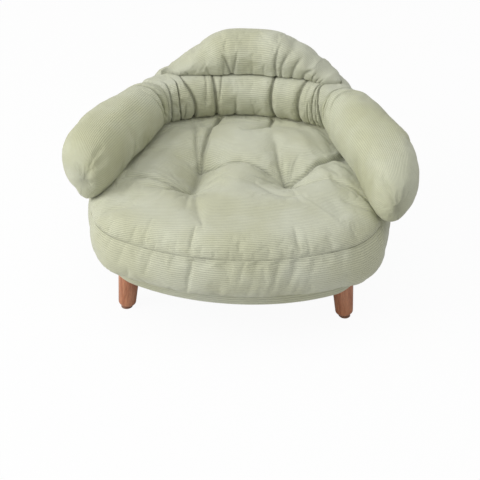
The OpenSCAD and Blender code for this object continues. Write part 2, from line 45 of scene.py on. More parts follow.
class Wire:
    """One output of a shader node. Python operators on it add Math nodes."""

    def __init__(self, finish, socket):
        self.finish = finish
        self.socket = socket

    def math(self, operation, *others):
        """Any Math node, with this output in its first socket."""
        values = dict(enumerate((self,) + others))
        return self.finish.add("ShaderNodeMath", {"operation": operation}, values)

    def __add__(self, other):
        return self.math("ADD", other)

    def __mul__(self, other):
        return self.math("MULTIPLY", other)

    def __sub__(self, other):
        return self.math("SUBTRACT", other)

    def __rsub__(self, other):
        return self * -1 + other

    def __pow__(self, other):
        return self.math("POWER", other)

    def __abs__(self):
        return self.math("ABSOLUTE")

    __radd__ = __add__
    __rmul__ = __mul__

    def sine(self):
        return self.math("SINE")

    def steps(self, *stops):
        """Maps a value through a ramp of (place, value) stops."""
        grey = [(place, (value, value, value)) for place, value in stops]
        return self.finish.add("ShaderNodeValToRGB", {"stops": grey}, {0: self})


class Finish:
    """A material, or the world. add() makes any node: its settings first, then its sockets."""

    def __init__(self, name, holder=None):
        self.material = holder or bpy.data.materials.new(name)
        self.material.use_nodes = True
        self.tree = self.material.node_tree
        self.tree.nodes.clear()

    def add(self, kind, settings=None, sockets=None, out=0):
        node = self.tree.nodes.new(kind)
        for name, value in (settings or {}).items():
            if name != "stops":
                setattr(node, name, value)
                continue
            stops = node.color_ramp.elements
            while len(stops) < len(value):
                stops.new(1.0)
            for stop, (place, colour) in zip(stops, value):
                stop.position = place
                stop.color = (*colour, 1)
        for name, value in (sockets or {}).items():
            if isinstance(value, Wire):
                self.tree.links.new(value.socket, node.inputs[name])
            elif isinstance(value, tuple) and len(node.inputs[name].default_value) > len(value):
                node.inputs[name].default_value = (*value, 1)
            else:
                node.inputs[name].default_value = value
        return Wire(self, node.outputs[out]) if len(node.outputs) else None

    def mixed(self, share, low, high):
        """A colour between two colours."""
        return self.add("ShaderNodeMix", {"data_type": "RGBA"}, {0: share, 6: low, 7: high}, out=2)

    def shaded(self, colour, share):
        """A colour times a number that changes over the surface."""
        grey = self.add("ShaderNodeCombineColor", {}, {0: share, 1: share, 2: share})
        settings = {"data_type": "RGBA", "blend_type": "MULTIPLY"}
        return self.add("ShaderNodeMix", settings, {0: 1.0, 6: colour, 7: grey}, out=2)

    def place(self):
        """Where a point is on its piece, in metres."""
        return self.add("ShaderNodeTexCoord", {}, {}, out=3)

    def stretched(self, place, scales):
        """A place with each of its three numbers times a scale, for grain and threads."""
        return self.add("ShaderNodeVectorMath", {"operation": "MULTIPLY"}, {0: place, 1: scales})

    def noise(self, place, scale, detail=2.0, roughness=0.5, distortion=0.0):
        sockets = {"Vector": place, "Scale": scale, "Detail": detail,
                   "Roughness": roughness, "Distortion": distortion}
        return self.add("ShaderNodeTexNoise", {}, sockets)

    def field(self, name, out=2):
        """A number that the mesh carries at each of its points."""
        return self.add("ShaderNodeAttribute", {"attribute_name": name}, {}, out=out)

    def surface(self, colour, roughness, height, depth, strength=1.0, **sockets):
        """Ends the material: a Principled shader with its bump, depth in metres."""
        bump = self.add("ShaderNodeBump", {}, {"Strength": strength, "Distance": depth, "Height": height})
        sockets = {name.replace("_", " "): value for name, value in sockets.items()}
        sockets.update({"Base Color": colour, "Roughness": roughness, "Normal": bump})
        shader = self.add("ShaderNodeBsdfPrincipled", {}, sockets)
        self.add("ShaderNodeOutputMaterial", {}, {"Surface": shader})
        return self


def tint(red, green, blue):
    """A colour as it is seen on a screen, 0 to 255, in the linear numbers that shaders take."""
    shares = [part / 255 for part in (red, green, blue)]
    return tuple(s / 12.92 if s <= 0.04045 else ((s + 0.055) / 1.055) ** 2.4 for s in shares)


def dress(finish, *nodes):
    """Gives a finish to solids of the frame that are shown as they are."""
    for node in nodes:
        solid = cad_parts[node]
        for slot in solid.material_slots:
            slot.material = finish.material


plywood = Finish("plywood")
spot = plywood.place()
layer = plywood.noise(plywood.stretched(spot, (9.0, 9.0, 900.0)), 1.0, 1.0)
fibre = plywood.noise(plywood.stretched(spot, (18.0, 420.0, 420.0)), 1.0, 3.0)
plywood.surface(
    plywood.shaded(plywood.mixed(layer, tint(196, 162, 118), tint(222, 194, 152)), fibre * 0.3 + 0.82),
    fibre * 0.2 + 0.6, fibre + layer * 0.6, 0.0002)
dress(plywood, "base_board")


# Leg plates, their screws and the hanger bolts
# Pressed steel plates with an angled boss, four pan-head screws each, and a hanger bolt in
# the top of each leg. All are zinc plated, a little cloudy, with fine turned lines.

CORNERS = ("front_left", "front_right", "rear_left", "rear_right")

plated_steel = Finish("plated_steel")
spot = plated_steel.place()
cloud = plated_steel.noise(spot, 160.0, 3.0)
scratch = plated_steel.noise(plated_steel.stretched(spot, (300.0, 300.0, 2600.0)), 1.0, 2.0)
plated_steel.surface(
    plated_steel.mixed(cloud, tint(176, 178, 180), tint(208, 206, 198)),
    cloud * 0.25 + scratch * 0.1 + 0.18, scratch + cloud * 0.5, 0.00005, Metallic=1.0)
dress(plated_steel, "plate_screws")
for corner in CORNERS:
    dress(plated_steel, "leg_plate_" + corner, "bolt_" + corner)


# Washers, felt pads and the dust cover
# A black rubber washer between each leg and its plate, a brown felt pad under each foot, and
# a black spun cloth stapled under the board.

rubber = Finish("washer_rubber")
grain = rubber.noise(rubber.place(), 900.0, 3.0)
rubber.surface(rubber.mixed(grain, tint(28, 28, 29), tint(46, 45, 44)), grain * 0.2 + 0.65, grain, 0.0001)

felt = Finish("foot_felt")
spot = felt.place()
hair = felt.noise(spot, 1400.0, 5.0, 0.8, 1.5)
clump = felt.noise(spot, 300.0, 2.0)
felt.surface(felt.mixed(clump, tint(112, 78, 56), tint(146, 104, 78)), hair * 0.1 + 0.85,
             hair + clump, 0.0004, Sheen_Weight=0.4)

dust_cloth = Finish("dust_cloth")
spot = dust_cloth.place()
web = dust_cloth.noise(dust_cloth.stretched(spot, (700.0, 1500.0, 900.0)), 1.0, 4.0, 0.7)
dent = abs((dust_cloth.add("ShaderNodeSeparateXYZ", {}, {0: spot}) * (math.pi / 0.0015)).sine())
dust_cloth.surface(dust_cloth.mixed(web, tint(26, 27, 28), tint(54, 54, 55)), web * 0.2 + 0.75,
                   web + dent * 0.4, 0.0002)

for corner in CORNERS:
    dress(rubber, "washer_" + corner)
    dress(felt, "foot_pad_" + corner)
dress(dust_cloth, "dust_cover")


# Legs
# Four turned beech legs, stained red-brown and lacquered, that taper to a rounded foot and
# lean outward. The grain runs along each leg. A hanger bolt screws each one to its plate.

MM = 0.001
# In mm: where the rear right leg's line leaves the board, and its direction down and outward
LEG_TOP = (165.0, 112.0, 76.0)
LEG_LINE = (0.109844, 0.098904, -0.989016)
# The seat and its legs lie this far forward of the frame's origin
SEAT_BACK_SHIFT = -14.0
LEG_HEAD = 8.5
LEG_LENGTH = 72.84
LEG_TOP_R = 17.0
LEG_FOOT_R = 14.0
LEG_ROUND = 6.0
BORE_R = 4.0
BORE_DEPTH = 12.0
LEG_EDGE = 1.4
LEG_EDGE_BEND = 0.4
TAPER_STEPS = 12
FOOT_STEPS = 7
TURNS = 48
# How far apart the legs are cut from the plank, so that no two have the same grain
PLANK_STEP = (40, 90)
SAME_PLACE = 0.00002


def make_piece(name, points, faces, finish, fields=None, vectors=None):
    """A smooth-shaded mesh object from points in mm, with its numbers at each point."""
    mesh = bpy.data.meshes.new(name)
    mesh.from_pydata((np.asarray(points) * MM).tolist(), [], faces)
    for field, values in (fields or {}).items():
        mesh.attributes.new(field, "FLOAT", "POINT").data.foreach_set("value", np.ravel(values))
    for field, values in (vectors or {}).items():
        mesh.attributes.new(field, "FLOAT_VECTOR", "POINT").data.foreach_set("vector", np.ravel(values))
    mesh.polygons.foreach_set("use_smooth", [True] * len(mesh.polygons))
    mesh.materials.append(finish.material)
    piece = bpy.data.objects.new(name, mesh)
    bpy.context.scene.collection.objects.link(piece)
    return piece


def grid_faces(rows, columns, wrap_columns=True, wrap_rows=False, start=0):
    """Four-sided faces over rows of points."""
    faces = []
    for r in range(rows if wrap_rows else rows - 1):
        s = (r + 1) % rows
        for c in range(columns if wrap_columns else columns - 1):
            d = (c + 1) % columns
            faces.append([start + r * columns + c, start + r * columns + d,
                          start + s * columns + d, start + s * columns + c])
    return faces


def face_outward(points, faces):
    """Turns the faces of a closed form so that they all look outward."""
    points = np.asarray(points)
    volume = 0.0
    for face in faces:
        a, b, c = points[face[0]], points[face[1]], points[face[2]]
        volume += np.dot(a, np.cross(b, c))
        if len(face) == 4:
            volume += np.dot(a, np.cross(c, points[face[3]]))
    return faces if volume > 0 else [face[::-1] for face in faces]


leg_wood = Finish("leg_wood")
along = leg_wood.field("grain", out=1)
ring = leg_wood.noise(leg_wood.stretched(along, (0.16, 0.16, 0.012)), 1.0, 3.0, 0.6, 0.8)
pore = leg_wood.noise(leg_wood.stretched(along, (1.6, 1.6, 0.09)), 1.0, 3.0, 0.7)
wood = leg_wood.mixed(ring.steps((0.3, 0.0), (0.7, 1.0)), tint(166, 97, 60), tint(206, 142, 104))
leg_wood.surface(
    leg_wood.shaded(wood, pore.steps((0.38, 0.72), (0.56, 1.0))),
    pore * 0.15 + 0.34, pore + ring * 0.3, 0.00008,
    Coat_Weight=0.35, Coat_Roughness=0.25)

lathe = [(0.0, -LEG_HEAD - BORE_DEPTH), (BORE_R, -LEG_HEAD - BORE_DEPTH), (BORE_R, -LEG_HEAD),
         (LEG_TOP_R - LEG_EDGE, -LEG_HEAD), (LEG_TOP_R - LEG_EDGE_BEND, -LEG_HEAD - LEG_EDGE_BEND),
         (LEG_TOP_R, -LEG_HEAD - LEG_EDGE)]
for step in range(1, TAPER_STEPS):
    t = step / TAPER_STEPS
    lathe.append((LEG_TOP_R + (LEG_FOOT_R - LEG_TOP_R) * t,
                  -LEG_HEAD - LEG_EDGE + (LEG_HEAD + LEG_EDGE + LEG_ROUND - LEG_LENGTH) * t))
for step in range(FOOT_STEPS + 1):
    angle = math.radians(90 * step / FOOT_STEPS)
    lathe.append((LEG_FOOT_R - LEG_ROUND + LEG_ROUND * math.cos(angle),
                  LEG_ROUND - LEG_LENGTH - LEG_ROUND * math.sin(angle)))
lathe.append((0.0, -LEG_LENGTH))

for corner in CORNERS:
    side_x = -1 if corner.endswith("left") else 1
    side_y = -1 if corner.startswith("front") else 1
    up = -Vector((side_x * LEG_LINE[0], side_y * LEG_LINE[1], LEG_LINE[2]))
    across = up.orthogonal().normalized()
    deep = up.cross(across)
    top = Vector((side_x * LEG_TOP[0], side_y * LEG_TOP[1] + SEAT_BACK_SHIFT, LEG_TOP[2]))
    points, grain = [], []
    for radius, height in lathe:
        for turn in range(TURNS):
            angle = 2 * math.pi * turn / TURNS
            out = across * math.cos(angle) + deep * math.sin(angle)
            points.append(tuple(top + out * radius + up * height))
            grain.append((radius * math.cos(angle) + PLANK_STEP[0] * side_x,
                          radius * math.sin(angle) + PLANK_STEP[1] * side_y, height))
    faces = face_outward(points, grid_faces(len(lathe), TURNS))
    leg = make_piece("turned_leg_" + corner, points, faces, leg_wood, vectors={"grain": grain})
    merge = leg.modifiers.new("merge", "WELD")
    merge.merge_threshold = SAME_PLACE
    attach(leg, "leg_" + corner)
    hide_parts("leg_" + corner)


# Cloth band round the base
# A strip of the sofa's corduroy, pulled round the board's edge and stapled under it. Its
# ribs run level. The strip lies under the seat's bottom seam and is a little slack.

# The seat's outline is a wide arc in front and at the rear, a tight one at each corner and a wide
# one at each side, which meet without a bend at these directions
SEAT_W = 478.0
SEAT_D = 452.0
CORNER_R = 112.0
FRONT_TO_CORNER = math.radians(26)
CORNER_TO_SIDE = math.radians(75)
BASE_Z = 76.0
SEAT_Z = 97.0
BASE_INSET = 31.0
RIB_PITCH = 3.3

arc_left = np.array([
    [math.sin(FRONT_TO_CORNER), 1 - math.sin(CORNER_TO_SIDE)],
    [1 - math.cos(FRONT_TO_CORNER), math.cos(CORNER_TO_SIDE)],
])
arc_right = np.array([
    SEAT_W / 2 - CORNER_R * (math.sin(CORNER_TO_SIDE) - math.sin(FRONT_TO_CORNER)),
    SEAT_D / 2 - CORNER_R * (math.cos(FRONT_TO_CORNER) - math.cos(CORNER_TO_SIDE)),
])
FRONT_R, SIDE_R = np.linalg.solve(arc_left, arc_right)


def outline_point(turn, inset):
    """The seat's outline in plan. Turn is its outward direction, 0 in front and 90 on the right."""
    turn = np.mod(turn, 360.0)
    half = np.where(turn > 180, 360 - turn, turn)
    q = np.radians(np.where(half > 90, 180 - half, half))
    front = (FRONT_R * np.sin(q), SEAT_D / 2 - FRONT_R + FRONT_R * np.cos(q))
    corner = (FRONT_R * math.sin(FRONT_TO_CORNER) + CORNER_R * (np.sin(q) - math.sin(FRONT_TO_CORNER)),
              SEAT_D / 2 - FRONT_R + FRONT_R * math.cos(FRONT_TO_CORNER)
              - CORNER_R * (math.cos(FRONT_TO_CORNER) - np.cos(q)))
    side = (SEAT_W / 2 - SIDE_R + SIDE_R * np.sin(q), SIDE_R * np.cos(q))
    x, y = (np.where(q <= FRONT_TO_CORNER, front[i], np.where(q <= CORNER_TO_SIDE, corner[i], side[i]))
            for i in (0, 1))
    x = np.where(turn > 180, -x, x)
    y = np.where(half > 90, y, -y)
    way = np.radians(turn)
    return x - inset * np.sin(way), y + inset * np.cos(way) + SEAT_BACK_SHIFT


walk_turns = np.linspace(0, 360, 1441)
walk_x, walk_y = outline_point(walk_turns[:-1], 0)
walk_x, walk_y = np.append(walk_x, walk_x[0]), np.append(walk_y, walk_y[0])
walk_length = np.append(0, np.cumsum(np.hypot(np.diff(walk_x), np.diff(walk_y))))
SEAT_ROUND = walk_length[-1]


def turn_at(length):
    """The outline's direction at a length along it, from the middle of the front to the right."""
    return np.interp(np.mod(length, SEAT_ROUND), walk_length, walk_turns)


def soft_step(v):
    """0 below 0, 1 above 1, and an eased rise between them."""
    c = np.clip(v, 0, 1)
    return c * c * (3 - 2 * c)


def bell(distance, spread):
    """1 at no distance, falling off evenly on both sides."""
    return np.exp(-(distance * distance) / (2 * spread * spread))


def waves(length, seed, count, shortest, longest):
    """Uneven waves round the whole seat, which meet where they started."""
    draw = np.random.default_rng(seed)
    total = np.zeros_like(length)
    for _ in range(count):
        cycles = np.round(SEAT_ROUND / draw.uniform(shortest, longest))
        size, phase = draw.uniform(0.4, 1), draw.uniform()
        total = total + size * np.sin(2 * math.pi * (cycles * length / SEAT_ROUND + phase))
    return total / count


def corduroy(name, light=(200, 202, 182), deep=(190, 191, 164)):
    """Fine ribbed cotton: rounded ribs with darker grooves, a brushed pile and faint patches, with painted
    shade in its folds.
    """
    cloth = Finish(name)
    spot = cloth.place()
    rib = abs((cloth.field("rib") * (math.pi / RIB_PITCH)).sine())
    patch = cloth.noise(spot, 9.0, 3.0, 0.55)
    brush = cloth.noise(spot, 55.0, 3.0, 0.6)
    pile = cloth.noise(spot, 1100.0, 3.0, 0.7)
    fold = cloth.field("fold")
    colour = cloth.mixed(patch.steps((0.38, 0.0), (0.62, 1.0)), tint(*light), tint(*deep))
    # The fold field darkens the colour by up to 42 percent: painted shade in creases, folds, puckers and
    # along seams.
    shade = (rib ** 0.6 * 0.24 + 0.78) * (brush * 0.12 + 0.95) * (pile * 0.2 + 0.9) * (1 - fold * 0.42)
    return cloth.surface(
        cloth.shaded(colour, shade), 0.95 - pile * 0.12, rib ** 0.7 + pile * 0.25, 0.0007, 0.8,
        Sheen_Weight=0.25, Sheen_Roughness=0.45, Specular_IOR_Level=0.25)


cover_cloth = corduroy("corduroy")
# The arms' copy of the corduroy is a little darker and yellower: painted shade, for the shade on the arms'
# faces.
arm_cloth_with_painted_shade = corduroy("corduroy_of_the_arms", (199, 201, 177), (188, 189, 157))

BAND_COLUMNS = 480
band_lengths = np.arange(BAND_COLUMNS) * SEAT_ROUND / BAND_COLUMNS
band_turns = turn_at(band_lengths)
# In from the board's edge and up from its underside, out along the face and back inside
BAND_SECTION = [
    (6.0, -0.4), (2.4, -0.5), (0.8, 0.1), (0.1, 1.4), (-0.2, 4), (-0.3, 8), (-0.3, 12), (-0.1, 16),
    (0.3, 19.5), (0.8, 20.9), (1.9, 20.9), (1.9, 0.6), (6.0, 0.2),
]
# The strip hangs lowest at the front, to the right of the middle
SAG_DEPTH = 3.5
SAG_TURN = 28
SAG_SPREAD = 17


def signed(turns):
    """A direction from -180 to 180, with the front at 0."""
    return np.mod(turns + 180, 360) - 180


slack = waves(band_lengths, 5, 7, 22, 70)
sag = SAG_DEPTH * bell(signed(band_turns) - SAG_TURN, SAG_SPREAD)
points, ribs = [], []
for step_in, step_up in BAND_SECTION:
    inset, height = BASE_INSET + step_in, BASE_Z + step_up
    give = 0.8 * slack * bell(height - (BASE_Z + 10), 5) * (inset < BASE_INSET + 1)
    low = soft_step((SEAT_Z - 4 - height) / 12)
    x, y = outline_point(band_turns, inset + give - 0.4 * sag * low)
    points.append(np.stack([x, y, height - sag * low], axis=1))
    ribs.append(np.full(BAND_COLUMNS, height))
points = np.concatenate(points)
faces = face_outward(points, grid_faces(len(BAND_SECTION), BAND_COLUMNS, wrap_rows=True))
band = make_piece("band_of_the_base", points, faces, cover_cloth, {"rib": np.concatenate(ribs)})
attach(band, "sofa")
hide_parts("base_band")


# Seat cushion
# A top panel sewn to a deep side band and a bottom panel, stuffed with loose fibre. Two
# tufting ties pull the top down; creases run from them to the back, the arms and the front.

TOP_SEAM_Z = 173.0
FLAT_Z = 193.0
SEAM_INSET = 8.0
SEAM_DEPTH = 1.0
ROLL_DEPTH = 40.0
ROLL_RISE = 26.0
# The filling's crown over the flat, how much higher the front is, and the flat's share of the top
CROWN = 8.0
FRONT_RISE = 5.5
FLAT_SHARE = 0.86
RINGS = 60
ROLL_RINGS = 15
SIDE_ROWS = 30
COLUMNS = 8 * RINGS
BACK_R = 280.0
TURN_R = 102.0
REAR_SWEEP = math.radians(25)
ARM_SWEEP = math.radians(71)
REAR_CENTRE = np.array([0.0, -88.0])
TURN_CENTRE = REAR_CENTRE + (BACK_R - TURN_R) * np.array([math.sin(REAR_SWEEP), math.cos(REAR_SWEEP)])


def even(points, count):
    """The same line through a number of points at even spacing."""
    points = np.asarray(points, float)
    reach = np.append(0, np.cumsum(np.linalg.norm(np.diff(points, axis=0), axis=1)))
    marks = np.linspace(0, reach[-1], count)
    return np.stack([np.interp(marks, reach, points[:, i]) for i in range(points.shape[1])], axis=1)


def smooth_line(x, xs, ys):
    """A smooth line through a few points."""
    xs, ys = np.asarray(xs, float), np.asarray(ys, float)
    slopes = np.gradient(ys, xs)
    i = np.clip(np.searchsorted(xs, x) - 1, 0, len(xs) - 2)
    gap = xs[i + 1] - xs[i]
    t = np.clip((x - xs[i]) / gap, 0, 1)
    return ((2 * t**3 - 3 * t**2 + 1) * ys[i] + (t**3 - 2 * t**2 + t) * gap * slopes[i]
            + (3 * t**2 - 2 * t**3) * ys[i + 1] + (t**3 - t**2) * gap * slopes[i + 1])


def line_gap(x, y, path):
    """Distance from points to a bent line, and how far along it the nearest place is."""
    best = np.full(np.shape(x), 1e9)
    where = np.zeros(np.shape(x))
    path = np.asarray(path, float)
    steps = np.linalg.norm(np.diff(path, axis=0), axis=1)
    total = steps.sum()
    done = 0.0
    for a, b, step in zip(path[:-1], path[1:], steps):
        t = np.clip(((x - a[0]) * (b[0] - a[0]) + (y - a[1]) * (b[1] - a[1])) / step**2, 0, 1)
        gap = np.hypot(x - a[0] - t * (b[0] - a[0]), y - a[1] - t * (b[1] - a[1]))
        nearer = gap < best
        best = np.where(nearer, gap, best)
        where = np.where(nearer, (done + t * step) / total, where)
        done += step
    return best, where


def back_gap(x, y):
    """How far a place on the seat is in front of the centre line of the back and arms."""
    q = np.abs(x)
    rear = (q - REAR_CENTRE[0], y - REAR_CENTRE[1])
    bend = (q - TURN_CENTRE[0], y - TURN_CENTRE[1])
    way = np.arctan2(bend[0], bend[1])
    arm = TURN_R - bend[0] * math.sin(ARM_SWEEP) - bend[1] * math.cos(ARM_SWEEP)
    return np.where((way >= REAR_SWEEP) & (way <= ARM_SWEEP), TURN_R - np.hypot(*bend),
                    np.minimum(BACK_R - np.hypot(*rear), arm))


# Creases of the top: the line, its depth at either end, its width, and the puff beside it
SEAT_CREASES = [
    ([(-67, 0), (-75, 43), (-80, 85), (-90, 126)], 5, 3, 3, 1),
    ([(-64, 3), (-63, 26), (-60, 50), (-56, 97), (-45, 147)], 7, 7, 3, 1.5),
    ([(-64, 2), (-26, -8), (0, -5), (19, -11), (40, -20), (61, -32)], 7, 5, 7, 1),
    ([(27, -71), (58, -102), (74, -109), (96, -102)], 2, 1.5, 12, 0.5),
    ([(-70, -72), (-93, -72), (-135, -63), (-172, -56)], 7, 2, 5, 2),
    ([(-73, -74), (-106, -88), (-142, -89)], 6, 1, 5, 1.5),
    ([(-63, -90), (-61, -112), (-52, -155), (-38, -200)], 4, 0, 10, 0.5),
    ([(-73, -90), (-71, -119), (-68, -166)], 3, 0, 9, 0.5),
    ([(72, -35), (60, -2), (51, 63)], 6, 2, 5, 1.5),
    ([(78, -37), (103, -22), (131, 6), (166, 40)], 7, 6, 3.2, 1.5),
    ([(145, -50), (178, -67), (196, -98), (218, -136)], 2, 1.5, 3.5, 0.5),
    ([(163, -112), (200, -123), (216, -136)], 1, 1.5, 3.5, 0.5),
    ([(80, -45), (110, -52), (140, -50)], 4, 1, 6, 1),
    ([(3, 84), (23, 97), (40, 114), (46, 150)], 0.5, 7, 3.5, 0.8),
]
# Thin wrinkles that fan out of the pits: the line and its strength
SEAT_WRINKLES = [
    ([(77, -32), (85, 0), (97, 27)], 0.8), ([(74, -30), (78, -6), (83, 14)], 0.6),
    ([(84, -36), (118, -20), (150, -6)], 0.5), ([(70, -34), (66, -8), (66, 30)], 0.6),
    ([(62, -38), (40, -33), (16, -30)], 0.5), ([(66, -46), (44, -52), (12, -56)], 0.6),
    ([(-66, 4), (-69, 40), (-70, 78)], 0.5), ([(-62, 8), (-54, 40), (-48, 70)], 0.5),
    ([(-72, -70), (-105, -60), (-148, -44)], 0.6), ([(-76, -68), (-100, -50), (-118, -22)], 0.4),
    ([(-66, -82), (-50, -100), (-40, -128)], 0.5), ([(-72, -84), (-84, -112), (-92, -140)], 0.4),
    ([(76, -46), (96, -66), (126, -80)], 0.4), ([(70, -48), (74, -76), (70, -104)], 0.3),
    ([(150, -62), (176, -84), (190, -112)], 0.4),
]
# Pits of the top: where, how wide and how deep; the last is where the top tucks in by the arm
SEAT_PITS = [
    ([(-65, -7), (-70, -66)], 26, 24), ([(75, -37), (75, -41)], 27, 24), ([(160, 26), (168, 38)], 8, 6),
]
# Puffs of the filling between the ties: middle, half sizes and height
SEAT_PUFFS = [
    ((5, -115), (95, 50), 5), ((-150, -20), (40, 60), 3), ((140, -80), (50, 40), 3),
    ((-5, 60), (42, 45), 5), ((-5, -45), (45, 30), 4), ((110, 45), (35, 40), 5),
    ((-115, 60), (30, 45), 4),
]


def seat_lift(x, y, share):
    """Height of the top above its flat, and how deep in a fold each place is."""
    lift = CROWN * soft_step((FLAT_SHARE - share) / 0.4) * soft_step((back_gap(x, y) - 60) / 30)
    free = soft_step((back_gap(x, y) - 40) / 22)
    fold = np.zeros_like(x)
    for (px, py), (sx, sy), height in SEAT_PUFFS:
        lift = lift + free * height * np.exp(-((x - px) / sx) ** 2 - ((y - py) / sy) ** 2)
    for path, spread, depth in SEAT_PITS:
        gap, _ = line_gap(x, y, path)
        lift = lift - depth * bell(gap, spread) - 0.4 * depth * np.exp(-gap / 8)
        fold = np.maximum(fold, np.exp(-gap / 7))
    for path, start, end, width, puff in SEAT_CREASES:
        gap, where = line_gap(x, y, path)
        depth = (start + (end - start) * where) * (1 - 0.6 * soft_step((where - 0.9) / 0.1) * (end < 7))
        lift = lift - depth * np.exp(-gap / width) + puff * bell(gap - 2.6 * width, 1.4 * width)
        fold = np.maximum(fold, depth / 9 * np.exp(-gap / (0.5 * width)))
    return lift, fold


def seat_cuts(x, y):
    """How deep in a thin crease each place of the top is, from 0 to 1."""
    cut = np.zeros_like(x)
    for path, spread, depth in SEAT_PITS:
        gap, _ = line_gap(x, y, path)
        cut = np.maximum(cut, 0.7 * np.exp(-gap / 6))
    for path, start, end, width, puff in SEAT_CREASES:
        gap, where = line_gap(x, y, path)
        depth = (start + (end - start) * where) * (1 - soft_step((where - 0.8) / 0.2) * (end < 7))
        cut = np.maximum(cut, np.minimum(1, depth / 7.5) * np.exp(-((gap / (1.8 + 0.12 * width)) ** 1.3)))
    for path, strength in SEAT_WRINKLES:
        gap, where = line_gap(x, y, path)
        fade = soft_step(where / 0.12) * (1 - soft_step((where - 0.5) / 0.5))
        cut = np.maximum(cut, 0.7 * strength * fade * np.exp(-((gap / 2.0) ** 1.3)))
    return cut


def gathers(along, away, marks):
    """Small puckers that run from a seam: (place, depth, width, reach) each."""
    pucker = np.zeros(np.broadcast(along, away).shape)
    for place, depth, width, reach in marks:
        gap = np.mod(along - place + SEAT_ROUND / 2, SEAT_ROUND) - SEAT_ROUND / 2
        pucker = pucker + depth * np.exp(-(gap / width) ** 2) * np.exp(-((away / reach) ** 1.5))
    return pucker


def random_marks(seed, spacing, depths, widths, reaches):
    """Marks for gathers at uneven places all round the seat."""
    draw = np.random.default_rng(seed)
    marks, place = [], 0.0
    while place < SEAT_ROUND:
        marks.append((place, draw.uniform(*depths), draw.uniform(*widths), draw.uniform(*reaches)))
        place += draw.uniform(*spacing)
    return marks


above_seam = random_marks(11, (8, 26), (0.3, 1.0), (1.8, 3.6), (8, 18)) + [
    (-149, 1.5, 3.0, 24), (-130, 1.8, 3.0, 28), (-58, 1.5, 3.0, 30), (14, 1.2, 2.6, 22), (100, 1.8, 3.4, 32),
    (116, 1.4, 2.6, 24)]
below_seam = random_marks(12, (16, 46), (0.3, 1.0), (3, 7), (14, 30)) + [
    (-51, 1.8, 7, 40), (72, 2.4, 6, 50), (96, 2.6, 7, 50), (40, 1.5, 6, 40)]
above_base = random_marks(13, (14, 40), (0.5, 1.4), (3, 7), (16, 40)) + [
    (-7, 2.2, 8, 40), (88, 3.2, 9, 44), (108, 2.6, 8, 40), (56, 2.0, 7, 40)]

# The roll of the edge, from the seam in to the flat: inset past the seam, share of the rise
theta = np.linspace(0, math.pi / 2, 200)
roll_shape = np.stack([ROLL_DEPTH * (1 - np.cos(theta) ** 0.8), ROLL_RISE * np.sin(theta) ** 0.9], axis=1)
roll_shape = even(roll_shape, ROLL_RINGS + 1)
roll_reach = np.append(0, np.cumsum(np.hypot(*np.diff(roll_shape, axis=0).T)))
roll_flat_reach = roll_reach[-1] - roll_reach

SQUARE_CORNERS = ((1, -1), (1, 1), (-1, 1), (-1, -1))


def square_ring(index):
    """Places round one ring of a square grid, from its front right corner."""
    if index == 0:
        return np.zeros(1), np.zeros(1)
    steps = np.arange(2 * index) / (2 * index)
    xs, ys = [], []
    for (ax, ay), (bx, by) in zip(SQUARE_CORNERS, SQUARE_CORNERS[1:] + SQUARE_CORNERS[:1]):
        xs.append(ax + (bx - ax) * steps)
        ys.append(ay + (by - ay) * steps)
    return np.concatenate(xs) * index / RINGS, np.concatenate(ys) * index / RINGS


def to_front(turns):
    """1 where the seat's edge looks forward, and 0 from where it looks mostly sideways."""
    return soft_step((np.cos(np.radians(turns)) - 0.55) / 0.45)


points, plans, ribs, folds = [], [], [], []
ring_start = [0]
for ring_index in range(RINGS + 1):
    # The square grid of the middle is rounded into the outline without a bend at its diagonals
    a, b = square_ring(ring_index)
    u, v = math.sqrt(2) * np.sin(math.pi / 4 * a), math.sqrt(2) * np.sin(math.pi / 4 * b)
    u, v = u * np.sqrt(1 - v * v / 2), v * np.sqrt(1 - u * u / 2)
    share = np.hypot(u, v)
    turns = turn_at(SEAT_ROUND * (np.degrees(np.arctan2(v, u)) + 90) / 360)
    edge_x, edge_y = outline_point(turns, SEAM_INSET + ROLL_DEPTH)
    x, y = edge_x * share, (edge_y - SEAT_BACK_SHIFT) * share + SEAT_BACK_SHIFT
    lift, fold = seat_lift(x, y, FLAT_SHARE * share)
    z = FLAT_Z + FRONT_RISE * to_front(turns) * soft_step((share - 0.55) / 0.45) + lift
    points.append(np.stack([x, y, z], axis=1))
    plans.append(np.stack([x, y, np.ones_like(x)], axis=1))
    ribs.append(y)
    folds.append(fold)
    ring_start.append(ring_start[-1] + len(x))

column_lengths = SEAT_ROUND / 8 + np.arange(COLUMNS) * SEAT_ROUND / COLUMNS
turns = turn_at(column_lengths)
way = np.radians(turns)
seat_rise = FLAT_Z - TOP_SEAM_Z + FRONT_RISE * to_front(turns)
for row in range(ROLL_RINGS - 1, -1, -1):
    roll_in, roll_up = roll_shape[row]
    away = roll_reach[row]
    x, y = outline_point(turns, SEAM_INSET + roll_in)
    lift, fold = seat_lift(x, y, np.full(COLUMNS, FLAT_SHARE))
    fade = soft_step(away / 16)
    pucker = gathers(column_lengths, away, above_seam)
    z = TOP_SEAM_Z + seat_rise * roll_up / ROLL_RISE + lift * fade - pucker * 0.7 * soft_step(away / 10)
    pull = pucker * bell(away, 16)
    fold = np.clip(fold * fade + pucker / 14, 0, 1)
    if row == 0:
        pull = SEAM_DEPTH
        fold = np.full(COLUMNS, 0.1)
    plans.append(np.stack([x, y, np.full(COLUMNS, fade)], axis=1))
    points.append(np.stack([x - pull * np.sin(way), y + pull * np.cos(way), z], axis=1))
    ribs.append(outline_point(turns, SEAM_INSET + ROLL_DEPTH - roll_flat_reach[row])[1])
    folds.append(fold)

